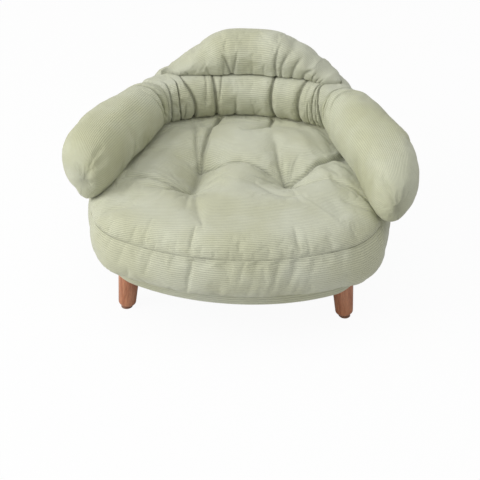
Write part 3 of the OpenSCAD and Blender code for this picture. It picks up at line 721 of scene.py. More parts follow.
faces = []
for ring_index in range(1, RINGS + 1):
    outer, inner = 8 * ring_index, 8 * (ring_index - 1)
    o, n = ring_start[ring_index], ring_start[ring_index - 1]
    for side in range(4):
        a, b = side * 2 * ring_index, side * 2 * (ring_index - 1)
        faces.append([n + (b % inner if inner else 0), o + (a + 1) % outer, o + a, o + (a - 1) % outer])
        for i in range(1, 2 * ring_index - 1):
            faces.append([n + (b + i - 1) % inner, n + (b + i) % inner,
                          o + (a + i + 1) % outer, o + (a + i) % outer])

# The side in section, from its bottom seam to its top seam: inset and height
side_shape = [
    (25.4, 97.0), (22, 99.6), (14.5, 104.5), (8.0, 109.5), (3.2, 115.5), (0.6, 122), (-0.4, 132),
    (0.0, 142), (1.4, 151), (3.6, 160), (6.2, 167.5), (8.0, 171.4),
    (SEAM_INSET + SEAM_DEPTH, TOP_SEAM_Z),
]
reach = np.append(0, np.cumsum(np.hypot(*np.diff(np.array(side_shape), axis=0).T)))
dense = np.linspace(0, reach[-1], 300)
side_line = np.stack([smooth_line(dense, reach, part) for part in np.transpose(side_shape)], axis=1)
side_line = even(side_line, SIDE_ROWS)
side_reach = np.append(0, np.cumsum(np.hypot(*np.diff(side_line, axis=0).T)))

# The top row stops just short of the seam, where the roll's own first row is
side_reach[-1] -= 0.25
side_line[-1] = side_line[-1] * 0.9 + side_line[-2] * 0.1
# The stuffing has settled unevenly: how much fuller the side is by direction, and how far below
# level it is pushed out, by direction from the front
SIDE_FULLER = [
    (-100, 0), (-90, -1), (-84, -3), (-77, -7), (-70, -6), (-63, -4), (-56, -3), (-49, 0), (-42, 2),
    (-35, 3), (-28, 2), (-20, 0), (0, 0), (10, 1), (17, 3), (31, 5.5), (38, 8.5), (45, 9), (52, 7),
    (59, 6), (66, 4.5), (73, 2), (80, -1), (90, 0), (100, 0),
]
SIDE_DROOP = [(0, 54), (25, 51), (45, 45), (60, 35), (70, 25), (80, 14), (90, 3), (180, 0)]
fuller = np.interp(signed(turns), *np.transpose(SIDE_FULLER))
droop = np.radians(np.interp(np.abs(signed(turns)), *np.transpose(SIDE_DROOP)))
slopes = np.gradient(side_line, axis=0)
slopes = slopes / np.linalg.norm(slopes, axis=1)[:, None]
# The zip is sewn flat into the rear of the side, in a shallow groove
ZIP_Z = 132.0
ZIP_TURN = 25.7
ZIP_GROOVE = 1.2
ZIP_GROOVE_HALF = 10.5
ZIP_CALM_HALF = 18.0
UNDER_INSETS = (30.0, 60.0)
zip_near = soft_step((ZIP_TURN + 3 - np.abs(turns - 180)) / 2)
side_points, side_ribs, side_folds, side_plans, side_hold = [], [], [], [], []
for row in range(SIDE_ROWS - 1, -1, -1):
    inset, height = side_line[row]
    down = side_reach[-1] - side_reach[row]
    lean = column_lengths + 0.25 * down
    pucker = gathers(lean, down, below_seam) + gathers(lean, side_reach[row], above_base)
    calm = 1 - zip_near * soft_step((ZIP_CALM_HALF - abs(height - ZIP_Z)) / 6)
    pucker = pucker * soft_step(down / 6) * calm
    sway = 1.2 * waves(lean, 21, 6, 40, 120) * soft_step(down / 15) * soft_step(side_reach[row] / 10) * calm
    groove = ZIP_GROOVE * zip_near * soft_step((ZIP_GROOVE_HALF - abs(height - ZIP_Z)) / 2)
    facing = np.clip(slopes[row, 1] * np.cos(droop) - slopes[row, 0] * np.sin(droop), 0, 1) ** 2
    push = fuller * facing * soft_step(down / 15)
    x, y = outline_point(turns, inset + pucker - sway + 1.0 * bell(row, 1.2) + groove - push * np.cos(droop))
    side_points.append(np.stack([x, y, height - push * np.sin(droop)], axis=1))
    side_plans.append(np.zeros((COLUMNS, 3)))
    side_hold.append((1 - calm) + np.zeros(COLUMNS))
    side_ribs.append(np.full(COLUMNS, -down))
    side_folds.append(np.clip(pucker / 14 + 0.4 * bell(row, 1.0) + 0.15 * bell(down, 1.5), 0, 1))
for inset in UNDER_INSETS:
    x, y = outline_point(turns, inset)
    side_points.append(np.stack([x, y, np.full(COLUMNS, SEAT_Z)], axis=1))
    side_ribs.append(y)
    side_folds.append(np.zeros(COLUMNS))
    side_plans.append(np.zeros((COLUMNS, 3)))
    side_hold.append(np.ones(COLUMNS))
start = ring_start[RINGS]
faces += grid_faces(ROLL_RINGS + 1 + len(side_points), COLUMNS, start=start)
last = start + (ROLL_RINGS + len(side_points)) * COLUMNS
faces.append([last + c for c in range(COLUMNS)])
points = np.concatenate(points + side_points)
faces = face_outward(points, faces)
seat = make_piece("seat_cushion", points, faces, cover_cloth,
                  {"rib": np.concatenate(ribs + side_ribs), "fold": np.concatenate(folds + side_folds)},
                  {"plan": np.concatenate(plans + side_plans)})


def plump(piece, held, swell=0.02, pressure=4.0, frames=14, most=6.0):
    """Fills a stuffed piece by cloth simulation. Held points, 1 where sewn, stay where they are."""
    mesh = piece.data
    group = piece.vertex_groups.new(name="sewn")
    levels = np.round(np.clip(held, 0, 1) * 10).astype(int)
    for level in range(1, 11):
        group.add(np.nonzero(levels == level)[0].tolist(), level / 10, "REPLACE")
    cloth = piece.modifiers.new("filling", "CLOTH")
    cloth.settings.quality = 4
    cloth.settings.mass = 0.02
    cloth.settings.air_damping = 3
    cloth.settings.tension_stiffness = 12
    cloth.settings.compression_stiffness = 12
    cloth.settings.bending_stiffness = 0.3
    cloth.settings.vertex_group_mass = "sewn"
    cloth.settings.use_pressure = True
    cloth.settings.uniform_pressure_force = pressure
    cloth.settings.shrink_min = -swell
    cloth.settings.effector_weights.gravity = 0
    cloth.collision_settings.use_collision = False
    cloth.point_cache.frame_start = 1
    cloth.point_cache.frame_end = frames
    scene = bpy.context.scene
    for frame_number in range(1, frames + 1):
        scene.frame_set(frame_number)
    filled = piece.evaluated_get(bpy.context.evaluated_depsgraph_get()).data
    before = np.empty(3 * len(mesh.vertices))
    after = np.empty(3 * len(mesh.vertices))
    mesh.vertices.foreach_get("co", before)
    filled.vertices.foreach_get("co", after)
    moved = (after - before).reshape(-1, 3)
    length = np.linalg.norm(moved, axis=1)
    limit = most * MM
    moved *= (limit * np.tanh(length / limit) / np.maximum(length, 1e-9))[:, None]
    piece.modifiers.remove(cloth)
    scene.frame_set(1)
    mesh.vertices.foreach_set("co", before + moved.ravel())
    mesh.update()


def refine(piece):
    """Halves the spacing of a filled piece's points, smoothly, so that it can take thin creases."""
    finer = piece.modifiers.new("finer", "SUBSURF")
    finer.levels = 1
    finer.use_limit_surface = False
    coarse = piece.data
    piece.data = bpy.data.meshes.new_from_object(piece.evaluated_get(bpy.context.evaluated_depsgraph_get()))
    piece.modifiers.clear()
    piece.vertex_groups.clear()
    bpy.data.meshes.remove(coarse)
    piece.data.name = piece.name


def field_of(piece, name):
    """The numbers that a mesh carries at its points, a row for each point."""
    layer = piece.data.attributes[name]
    size, part = (3, "vector") if layer.data_type == "FLOAT_VECTOR" else (1, "value")
    values = np.empty(size * len(layer.data))
    layer.data.foreach_get(part, values)
    return values.reshape(-1, size)


def crease(piece, folds, depth):
    """Draws a filled piece in along thin folds, and marks them for the painted shade that darkens its cloth
    there.
    """
    mesh = piece.data
    folds = np.clip(folds, 0, 1)
    places, normals = np.empty(3 * len(mesh.vertices)), np.empty(3 * len(mesh.vertices))
    mesh.vertices.foreach_get("co", places)
    mesh.vertices.foreach_get("normal", normals)
    inward = (folds * depth * MM)[:, None] * normals.reshape(-1, 3)
    mesh.vertices.foreach_set("co", places - inward.ravel())
    mesh.attributes["fold"].data.foreach_set("value", folds)
    mesh.update()


def stuff(piece, held, cuts, depth, covers, most=6.0):
    """Fills a cushion, draws in its thin creases, and puts it in place of its covers and filling."""
    plump(piece, held, most=most)
    refine(piece)
    crease(piece, cuts(piece), depth)
    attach(piece, "sofa")
    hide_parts(*covers)


def cuts_of_the_seat(piece):
    """The top's thin creases, and the folds of the side and the seams."""
    plan_x, plan_y, on_top = field_of(piece, "plan").T
    return np.maximum(seat_cuts(plan_x, plan_y) * on_top, 0.5 * field_of(piece, "fold")[:, 0])


seat_x, seat_y, seat_z = points.T
seat_hold = np.clip(np.concatenate(folds + side_folds) * 1.5, 0, 1)
under_back = soft_step((42 - back_gap(seat_x, seat_y)) / 12) * (seat_z > 185)
seat_hold = np.maximum(seat_hold, under_back)
seat_hold = np.maximum(seat_hold, bell(seat_z - TOP_SEAM_Z, 1.2) * (np.abs(seat_z - TOP_SEAM_Z) < 3))
seat_hold = np.maximum(seat_hold, seat_z < 99.5)
on_side = slice(-len(side_hold) * COLUMNS, None)
seat_hold[on_side] = np.maximum(seat_hold[on_side], np.concatenate(side_hold))
stuff(seat, seat_hold, cuts_of_the_seat, 3.0,
      ("seat_top_cover", "seat_side_band", "seat_bottom_cover", "seat_filling"))


# Tufting ties
# A waxed twine goes through the seat at each tuft, with a knot on top, sunk in the pit, and
# a flat disc under the seat that holds it.

twine = Finish("twine")
strand = abs((twine.add("ShaderNodeSeparateXYZ", {}, {0: twine.place()}, out=2) * (math.pi / 0.0012)).sine())
wax = twine.noise(twine.place(), 600.0, 2.0)
twine.surface(twine.mixed(wax, tint(178, 178, 152), tint(204, 202, 178)), wax * 0.2 + 0.6,
              strand + wax * 0.3, 0.0003)
dress(twine, "tuft_ties")


# Lower back
# A bolster of the same corduroy round the rear of the seat, its cover gathered along the
# seam on the seat, so folds stand up its face. The arms are sewn to both its ends.

BOLSTER_W = 48.0
BOLSTER_H = 46.0
BOLSTER_Z = 229.0
LOWER_TOP_Z = 265.0
ARM_TOP_Z = 274.0
ROUNDNESS = 0.87
JOIN_TURN = 55.0
# How far the bolsters sink into the seat's top, and how gently they flatten against it
SINK = 1.5
EASE = 1.6


def path_point(turn, along=0.0):
    """The centre line of the back and arms. Turn is its direction out, in degrees, to the right."""
    q = np.radians(np.abs(turn))
    side = np.where(np.asarray(turn) < 0, -1.0, 1.0)
    x = np.where(q <= REAR_SWEEP, BACK_R * np.sin(q),
                 TURN_CENTRE[0] + TURN_R * np.sin(q) + along * np.cos(q))
    y = np.where(q <= REAR_SWEEP, REAR_CENTRE[1] + BACK_R * np.cos(q),
                 TURN_CENTRE[1] + TURN_R * np.cos(q) - along * np.sin(q))
    return side * x, y


def rounded(v):
    """A sine or cosine that makes a section squarer than an ellipse."""
    return np.sign(v) * np.abs(v) ** ROUNDNESS


def beside_path(turn, out, along=0.0):
    """A place out from the centre line of the back and arms, away from the seat."""
    x, y = path_point(turn, along)
    return x + out * np.sin(np.radians(turn)), y + out * np.cos(np.radians(turn))


def soft_limit(v, low, high, ease):
    """Holds a value between two limits, with an eased bend at each."""
    v = high - ease * np.logaddexp(0, (high - v) / ease)
    return low + ease * np.logaddexp(0, (v - low) / ease)


def close_tube(rows, columns):
    """Faces of a tube of closed rows, with a fan to a point at either end."""
    faces = grid_faces(rows, columns)
    a, b = rows * columns, rows * columns + 1
    last = (rows - 1) * columns
    for c in range(columns):
        d = (c + 1) % columns
        faces.append([d, c, a])
        faces.append([last + c, last + d, b])
    return faces


def with_ends(rows, first, last):
    """Rows of points or numbers as one list, with the two end points of a closed tube after them."""
    rows = np.asarray(rows, float)
    rows = rows.reshape(-1, *rows.shape[2:])
    return np.concatenate([rows, [first], [last]])


def tube_piece(name, finish, points, cut, ribs, spots, rib_ends, spot_ends):
    """A closed tube of ribbed cloth, from rows of points. Returns the piece, its points and folds."""
    points = with_ends(points, points[0].mean(axis=0), points[-1].mean(axis=0))
    folds = with_ends(cut, 0, 0)
    ribs = with_ends(np.broadcast_to(ribs, cut.shape), *rib_ends)
    spots = with_ends(np.stack(spots, axis=-1), *spot_ends)
    faces = face_outward(points, close_tube(*cut.shape))
    piece = make_piece(name, points, faces, finish, {"rib": ribs, "fold": folds}, {"spot": spots})
    return piece, points, folds


BACK_ROWS = 220
BACK_AROUND = 84


def round_reach(angles, wide, tall):
    """How far round a section each of its points is, from the first."""
    x, z = wide * rounded(np.cos(angles)), tall * rounded(np.sin(angles))
    return np.append(0, np.cumsum(np.hypot(np.diff(x), np.diff(z))))


def standing_folds(marks, place, rise, face):
    """Folds that stand up a bolster: how far each point is drawn in, and how deep in a thin crease
    it is. A mark has the fold's place at the bottom, half way up and at the top, its depth and
    width, and the shares of the height that it starts and ends at."""
    dip, cut = np.zeros(np.shape(place + rise)), np.zeros(np.shape(place + rise))
    for low, middle, top, depth, width, start, end in marks:
        line = (low * (1 - rise) * (1 - 2 * rise) + 4 * middle * rise * (1 - rise)
                + top * rise * (2 * rise - 1))
        reach = face * soft_step((end - rise) / 0.3 + 0.5) * soft_step((rise - start) / 0.3 + 0.5)
        gap = np.abs(place - line)
        puff = 0.2 * bell(gap - 2.6 * width, 1.4 * width)
        dip = dip + depth * reach * (0.62 * np.exp(-gap / (0.85 * width)) - puff)
        cut = np.maximum(cut, reach * min(1, depth / 6.5) * np.exp(-((gap / (0.45 * width)) ** 1.3)))
    return dip, cut


# In from the seat's edge, and the height of its top there
SEAT_EDGE = [(-10, 150), (7, 165), (9, 173), (13, 182), (25, 189), (48, FLAT_Z - SINK)]


def rest_height(x, y):
    """The height of the seat's top under the back and arms: flat, and rolled down at its edge."""
    gap_x, gap_y = x[..., None] - walk_x[::4], y[..., None] - walk_y[::4]
    nearest = np.hypot(gap_x, gap_y).argmin(axis=-1)[..., None]
    way = np.radians(walk_turns[::4])[nearest]
    near_x, near_y = (np.take_along_axis(gap, nearest, -1) for gap in (gap_x, gap_y))
    inside = np.cos(way) * near_y - np.sin(way) * near_x
    return np.interp(inside[..., 0], *np.transpose(SEAT_EDGE))


# By direction: how wide the back is, as a share of its width in full
BACK_WIDTHS = [
    (-55, 0.8), (-52, 0.85), (-46, 0.9), (-36, 0.96), (-25, 1), (-12, 1.02), (0, 1.02), (12, 1.02), (25, 1),
    (36, 0.96), (46, 0.9), (52, 0.85), (55, 0.8),
]
back_turns = np.linspace(-JOIN_TURN, JOIN_TURN, BACK_ROWS)
back_share = smooth_line(back_turns, *np.transpose(BACK_WIDTHS))
BACK_FOLDS = [
    (-31, -37, -34.5, 5.5, 1.0, -1, 2), (-21.6, -21.5, -25, 6.5, 1.0, -1, 2),
    (-12.1, -12.6, -13.2, 8, 0.95, -1, 2), (-12.5, -11.3, -9.8, 3, 0.8, 0.45, 2),
    (-4.7, -4.3, -4, 4, 0.9, -1, 0.45), (11.9, 10.2, 10.8, 8, 0.95, -1, 2),
    (22.9, 21.7, 23, 8, 0.95, -1, 2), (-17.5, -17, -16.1, 2.5, 0.9, 0.4, 2),
    (-28, -27, -29, 2.5, 1, -1, 0.5), (3.5, 3, 3, 1.8, 1.2, -1, 0.3), (41, 38, 36.5, 4, 1.2, -1, 2),
    (32, 31, 31, 2, 1, -1, 0.6), (54, 50, 39.3, 5.5, 1.5, -1, 2), (-46, -50, -47, 4.5, 1.5, -1, 2),
    (47, 45, 41, 3, 1.2, -1, 0.8),
]
# Where the back turns into the arms it is slacker: by direction, and how far above level
BACK_FULLER = [
    (-55, -7), (-50, -6.5), (-45, -8), (-40, -8), (-35, -2), (-30, 0), (38, 0), (45, -3.5), (50, -7),
    (55, -6),
]
BACK_FULLER_UP = math.radians(44)
# Round each section from the middle of its bottom, up the side that looks at the seat, and over
round_angle = math.pi * (1.5 - 2 * (np.arange(BACK_AROUND) + 0.5) / BACK_AROUND)
round_ribs = round_reach(round_angle, BOLSTER_W, BOLSTER_H)
draw = np.random.default_rng(31)
rear_folds = []
for place in np.arange(-50, 51, 9):
    low, top = place + draw.uniform(-3, 3, 2)
    depth, width, end = draw.uniform(1, 2.6), draw.uniform(1.2, 2.4), draw.uniform(0.5, 1.1)
    rear_folds.append((low, (low + top) / 2, top, depth, width, -1, end))


def back_creases(turn, rise, out):
    """Folds of the side that looks at the seat and of the rear, where out is -1 and 1."""
    dip, cut = standing_folds(BACK_FOLDS, turn, rise, soft_step(-2 * out))
    rear_dip, rear_cut = standing_folds(rear_folds, turn, rise, soft_step(2 * out))
    return dip + rear_dip, np.maximum(cut, 0.5 * rear_cut)


turn, angle = np.meshgrid(back_turns, round_angle, indexing="ij")
share = back_share[:, None]
out, z = BOLSTER_W * share * rounded(np.cos(angle)), np.where(np.sin(angle) > 0, BOLSTER_H * share, BOLSTER_H)
z = soft_limit(BOLSTER_Z + z * rounded(np.sin(angle)), FLAT_Z - SINK, LOWER_TOP_Z + 0.5, EASE)
rise = np.clip((z - FLAT_Z) / (LOWER_TOP_Z - FLAT_Z), 0, 1)
dip, cut = back_creases(turn, rise, np.cos(angle))
fuller = np.interp(turn, *np.transpose(BACK_FULLER)) * np.clip(np.cos(angle - BACK_FULLER_UP), 0, 1) ** 2
out = out - np.sign(np.cos(angle)) * dip + fuller * math.cos(BACK_FULLER_UP)
z = z + fuller * math.sin(BACK_FULLER_UP)
x, y = beside_path(turn, out)
lower_back, points, folds = tube_piece(
    "lower_back_bolster", cover_cloth, np.stack([x, y, z], axis=-1), cut, round_ribs,
    (turn, rise, np.cos(angle)), (BOLSTER_Z, BOLSTER_Z), ((-JOIN_TURN, 0.5, 0), (JOIN_TURN, 0.5, 0)))
sewn = (points[:, 2] < FLAT_Z + 1) | (points[:, 2] > LOWER_TOP_Z - 1)
back_hold = np.maximum(np.clip(folds * 1.2, 0, 1), sewn)
back_hold[:2 * BACK_AROUND] = back_hold[-2 * BACK_AROUND - 2:] = 1
stuff(lower_back, back_hold, lambda piece: back_creases(*field_of(piece, "spot").T)[1], 3.2,
      ("lower_back_cover", "lower_back_filling"))


# Upper back
# A crescent-shaped cushion sewn on top of the lower back along one level seam, front and
# rear. It is fullest in the middle, with gathers that fan up from the seam.

# By direction: the crescent's edge towards the seat and its edge at the rear, out from the
# centre line of the back, and its height
CREST = [
    (-38, 11, 14, 5), (-34, 7, 17, 6), (-31, -1, 21, 6), (-28, -7, 24, 8), (-24, -14, 27, 15),
    (-20, -20, 30, 30), (-16, -25, 31.5, 43.5), (-12, -30, 32, 57), (-8, -30.5, 32.5, 64.5),
    (-4, -30, 33, 66), (0, -29, 33, 65.5), (4, -29, 33, 66), (8, -30.5, 33, 66), (12, -31, 33, 62),
    (16, -27, 33, 52), (20, -23, 32.5, 44), (24, -21, 32, 29.5), (28, -20.5, 31, 22), (32, -19, 29, 16),
    (36, -17, 26.5, 13), (40, -14, 21, 11.5), (44, -6, 16, 7), (48, 6, 11, 4),
]
CREST_SWELL = 0.35
CREST_HALF = 32.0
CREST_TOP = 63.0
UPPER_ROWS = 150
UPPER_AROUND = 60
UPPER_FOLDS = [
    (-6, -8.5, -11.5, 5, 1.1, -1, 0.6), (-9, -8.8, -8.5, 3, 1.0, -1, 0.5),
    (-5.6, -4.2, -2.5, 4, 1.0, -1, 0.55), (11.5, 11.2, 12.5, 6, 1.0, -1, 1.0),
    (13.5, 14, 17, 5, 1.0, -1, 0.85), (17, 18.5, 21, 4.5, 1.0, -1, 0.85),
    (21.4, 23, 27, 4.5, 1.0, -1, 0.8), (25, 27, 31, 3.5, 1.0, -1, 0.8),
    (29.5, 32, 36, 3.5, 1.0, -1, 0.8), (34, 36, 40, 3, 1.0, -1, 0.8),
    (-14, -16, -18, 2.5, 1.2, -1, 0.4), (-22, -23, -24, 2.5, 1.0, -1, 0.5),
    (-29, -30, -31, 4, 1.2, -1, 1.2), (2, 2.4, 3, 1.6, 1.2, -1, 0.3), (6.5, 6.8, 7, 2, 1.0, -1, 0.3),
]
upper_turns = np.linspace(CREST[0][0], CREST[-1][0], UPPER_ROWS)
crest_turns, crest_inner, crest_outer, crest_high = np.transpose(CREST)
near_edge, far_edge, high = (smooth_line(upper_turns, crest_turns, row)[:, None]
                             for row in (crest_inner, crest_outer, crest_high))
arch = math.pi * np.arange(UPPER_AROUND + 1) / UPPER_AROUND
crest_ribs = round_reach(math.pi - arch, CREST_HALF, CREST_TOP)


def upper_creases(turn, rise, out):
    """Gathers that fan up from the seam, on the front, and fainter ones at the rear."""
    dip, cut = standing_folds(UPPER_FOLDS, turn, rise, soft_step(0.9 - 1.4 * out))
    rear_dip, rear_cut = standing_folds(UPPER_FOLDS, -turn, rise, 0.5 * soft_step(1.4 * out - 0.2))
    return dip + rear_dip, np.maximum(cut, rear_cut)


turn, arch = np.meshgrid(upper_turns, arch, indexing="ij")
swell = 1 + CREST_SWELL * np.sin(2 * np.minimum(arch, math.pi - arch))
out = (near_edge + far_edge) / 2 - (far_edge - near_edge) / 2 * rounded(np.cos(arch)) * swell
rise = rounded(np.sin(arch))
dip, cut = upper_creases(turn, rise, -np.cos(arch))
# Folds are smaller where the crescent is low
small = np.clip(high / 40, 0.15, 1)
base = bell(rise, 0.05)
drawn = np.minimum(0.8 * dip * small * np.abs(np.cos(arch)) ** 0.5, 0.3 * (far_edge - near_edge))
out = out + np.sign(np.cos(arch)) * (drawn + 0.6 * base)
# The crescent's ends lie a little lower than its seam, in the lower back's stuffing
sunk = 5 * soft_step((np.abs(turn) - 24) / 10) + 3 * soft_step((np.abs(turn) - 34) / 8)
z = LOWER_TOP_Z - sunk + (high + sunk) * rise - dip * small * 0.12 * rise
x, y = beside_path(turn, out)
upper_back, points, folds = tube_piece(
    "upper_back_cushion", cover_cloth, np.stack([x, y, z], axis=-1), np.maximum(cut, 0.35 * base), crest_ribs,
    (turn, rise, -np.cos(arch)), (0, 0), ((CREST[0][0], 0, 0), (CREST[-1][0], 0, 0)))
upper_hold = np.maximum(np.clip(folds * 1.2, 0, 1), points[:, 2] < LOWER_TOP_Z + 1)
low_ends = np.append(np.repeat(1 - soft_step((high - 6) / 26), UPPER_AROUND + 1), [1, 1])


def cuts_of_the_upper_back(piece):
    """Its gathers, which fade out below the top, and the seam under it."""
    turn, rise, out = field_of(piece, "spot").T
    cut = upper_creases(turn, rise, out)[1] * soft_step((0.95 - rise) / 0.3)
    return np.maximum(cut, 0.25 * bell(rise, 0.04))


stuff(upper_back, np.maximum(upper_hold, low_ends), cuts_of_the_upper_back, 2.2,
      ("upper_back_cover", "upper_back_filling"), most=5.0)


# Arms
# Two fat bolsters that run forward from the back along the seat's sides to a rounded tip.
# The right one is longer. Each cover is puckered at its tip and creased where it joins.

TIP_L = 72.0
ARM_AROUND = 84
ARM_ROWS = 96
TIP_ROWS = 46
# Where an arm's widths are given, as shares of its straight length
ARM_MARKS = np.array([0, 0.24, 0.48, 0.69])
# How far back from the tip its outer face is puckered
PUCKERS_BACK = (118, 104, 90, 79, 68, 58, 47, 37)
# An arm is held to the seat where it is this close to it
TOUCH = 2.5
ARM_BEND_L = TURN_R * (ARM_SWEEP - math.radians(JOIN_TURN))


def arm(name, node, side, length, wide_shares, creases, fuller, lean, square):
    """One arm: its side is -1 for the left and 1 for the right. The wide shares are its widths at
    four places, as shares of the bolster's. Creases are standing folds of the face that looks at the
    seat. Fuller is how far the stuffing pushes out the cover, by place along the arm, lean is how
    far its tip rolls in over the seat, and square how blunt its tip is there."""
    straight = ARM_MARKS * length + ARM_BEND_L
    whole = ARM_BEND_L + length
    tip_from = whole - TIP_L
    tip = whole - TIP_L * (1 - np.sin(np.linspace(0, math.pi / 2, TIP_ROWS)))[1:]
    steps = np.concatenate([np.linspace(0, tip_from, ARM_ROWS), tip[:-1]])
    draw = np.random.default_rng(51 + side)
    tip_puckers = []
    for back in PUCKERS_BACK:
        place = whole - back + draw.uniform(-3, 3)
        low, top = place + draw.uniform(-8, 8, 2)
        depth, width, end = draw.uniform(0.4, 1.3), draw.uniform(1.6, 3.0), draw.uniform(0.3, 0.9)
        tip_puckers.append((low, place, top, depth, width, -1, end))

    def arm_creases(step, rise, out):
        dip, cut = standing_folds(creases, step, rise, soft_step(0.5 - out * 1.6))
        tip_dip, tip_cut = standing_folds(tip_puckers, step, rise, soft_step(out * 1.5 - 0.1))
        return dip + tip_dip, np.maximum(cut, tip_cut)

    around = math.pi * (1.5 - 2 * (np.arange(ARM_AROUND) + 0.5) / ARM_AROUND)
    step, around = np.meshgrid(steps, around, indexing="ij")
    squarer = 2 + square * soft_step(0.5 - 0.9 * np.cos(around)) * soft_step(0.7 - np.sin(around))
    cap = np.maximum(1e-4, 1 - (np.maximum(0, step - tip_from) / TIP_L) ** squarer) ** (1 / squarer)
    share = smooth_line(step, [0, *straight, whole], [0.8, *wide_shares, wide_shares[-1]]) * cap
    near_join = np.clip(step / ARM_BEND_L, 0, 1)
    tall = cap * (0.8 + 0.2 * near_join)
    droop = soft_step((step - straight[2]) / 60)
    deep = cap * (1 + 0.2 * droop)
    tuck = np.interp(step, [straight[1], straight[2], straight[3], whole], [0, 0.5, 1, 0.55])
    bent = np.minimum(step, ARM_BEND_L)
    turn = side * np.degrees(math.radians(JOIN_TURN) + bent / TURN_R)
    roll_in = tuck * BOLSTER_W * (1 - share)
    out = BOLSTER_W * share * rounded(np.cos(around)) - roll_in - lean * soft_step((step - straight[3]) / 60)
    z = BOLSTER_Z + BOLSTER_H * np.where(np.sin(around) > 0, tall, deep) * rounded(np.sin(around))
    z = soft_limit(z, 160, LOWER_TOP_Z + (ARM_TOP_Z - LOWER_TOP_Z) * near_join + 0.5, EASE)
    up = np.radians(np.interp(step, [0, ARM_BEND_L, straight[3], whole], [40, 26, 22, 0]))
    push = np.interp(step, *np.transpose(fuller)) * np.clip(np.cos(around - up), 0, 1) ** 2
    rise = np.clip((z - FLAT_Z) / (ARM_TOP_Z - FLAT_Z), 0, 1)
    dip, cut = arm_creases(step, rise, np.cos(around))
    out = out - np.sign(np.cos(around)) * np.minimum(dip, 0.5 * np.abs(out)) + push * np.cos(up)
    x, y = beside_path(turn, out, step - bent)
    rest = rest_height(x, y)
    z = rest + EASE * np.logaddexp(0, (z + push * np.sin(up) - rest) / EASE)
    piece, points, folds = tube_piece(
        name, arm_cloth_with_painted_shade, np.stack([x, y, z], axis=-1), cut, round_reach(around[0], BOLSTER_W, BOLSTER_H),
        (step, rise, np.cos(around)), (0, whole), ((0, 0.5, 0), (whole, 0.5, 0)))
    touching = with_ends(z < rest + TOUCH, 0, 0)
    hold = np.maximum(np.clip(folds * 1.2, 0, 1), touching)
    hold[:2 * ARM_AROUND] = 1
    stuff(piece, hold, lambda piece: arm_creases(*field_of(piece, "spot").T)[1], 3.2,
          (node + "_cover", node + "_filling"))


arm("left_arm_bolster", "left_arm", -1, 230.0, [0.88, 1, 1.02, 0.95],
    [(8, 27, 33, 7.5, 3.4, -1, 2), (20, 31, 29, 4, 2.6, 0.4, 0.95), (22, 40, 52, 2.5, 3, -1, 0.9),
     (150, 141, 132, 2.5, 5, -1, 0.5), (96, 92, 88, 1.5, 4, -1, 0.3)],
    [(0, -8), (9, -10), (18, -12), (28, -12.5), (48, -10.5), (68, -8), (88, -4.5), (108, -1.5), (148, 1),
     (168, 1.5), (188, 1), (208, 1), (228, 1), (258, 0)], 0.0, 1.8)
arm("right_arm_bolster", "right_arm", 1, 268.0, [0.88, 0.97, 0.96, 0.85],
    [(24, 11, 1, 7, 3.4, -1, 2), (88, 58, 32, 5, 3.4, -1, 1.1), (52, 34, 16, 4.5, 3.2, -1, 1.0),
     (40, 24, 8, 2.5, 3, -1, 0.7), (120, 112, 104, 1.5, 4, -1, 0.3)],
    [(0, -7), (18, -8), (28, -7.5), (48, -6.5), (68, -4.5), (108, -2.5), (128, -0.5), (148, 1.5), (168, 4.5),
     (188, 5.5), (208, 5), (228, 2), (248, -2), (296, -4)], 6.0, 0.8)


# Zip
# A nylon coil zip sewn into the rear of the seat's side, so that the cover comes off: two
# woven tapes, the coil, a metal stop at each end, and a slider with its pull.

tape_cloth = Finish("zip_cloth")
spot = tape_cloth.place()
weft = abs((tape_cloth.add("ShaderNodeSeparateXYZ", {}, {0: spot}, out=2) * (math.pi / 0.0006)).sine())
warp = tape_cloth.noise(tape_cloth.stretched(spot, (1500.0, 1500.0, 300.0)), 1.0, 2.0)
tape_cloth.surface(tape_cloth.mixed(warp, tint(168, 170, 148), tint(190, 192, 170)), warp * 0.1 + 0.78,
                   weft + warp * 0.5, 0.0002)
nylon = Finish("zip_nylon")
spot = nylon.place()
dull = nylon.noise(spot, 900.0, 2.0)
nylon.surface(nylon.mixed(dull, tint(140, 142, 122), tint(172, 174, 152)), dull * 0.15 + 0.4, dull, 0.00005)
zip_metal = Finish("zip_metal")
spot = zip_metal.place()
rub = zip_metal.noise(spot, 500.0, 4.0)
zip_metal.surface(zip_metal.mixed(rub, tint(146, 146, 144), tint(196, 194, 188)), rub * 0.3 + 0.2,
                  rub, 0.00005, Metallic=1.0)
dress(zip_metal, "zip_stops", "zip_slider", "zip_pull")

ZIP_CENTRE_Y = SEAT_D / 2 - FRONT_R + SEAT_BACK_SHIFT
TAPE_HALF = 8.0
COIL_HALF = 2.2
COIL_PITCH = 1.25
COIL_WIRE = 0.36
COIL_OUT = 1.5


def on_zip(angle, out, up):
    """A point of the zip: its direction from the arc's centre in radians, 0 straight to the rear."""
    radius = FRONT_R + out
    x, y = radius * np.sin(angle), ZIP_CENTRE_Y + radius * np.cos(angle)
    return np.stack(np.broadcast_arrays(x, y, ZIP_Z + up), axis=-1)


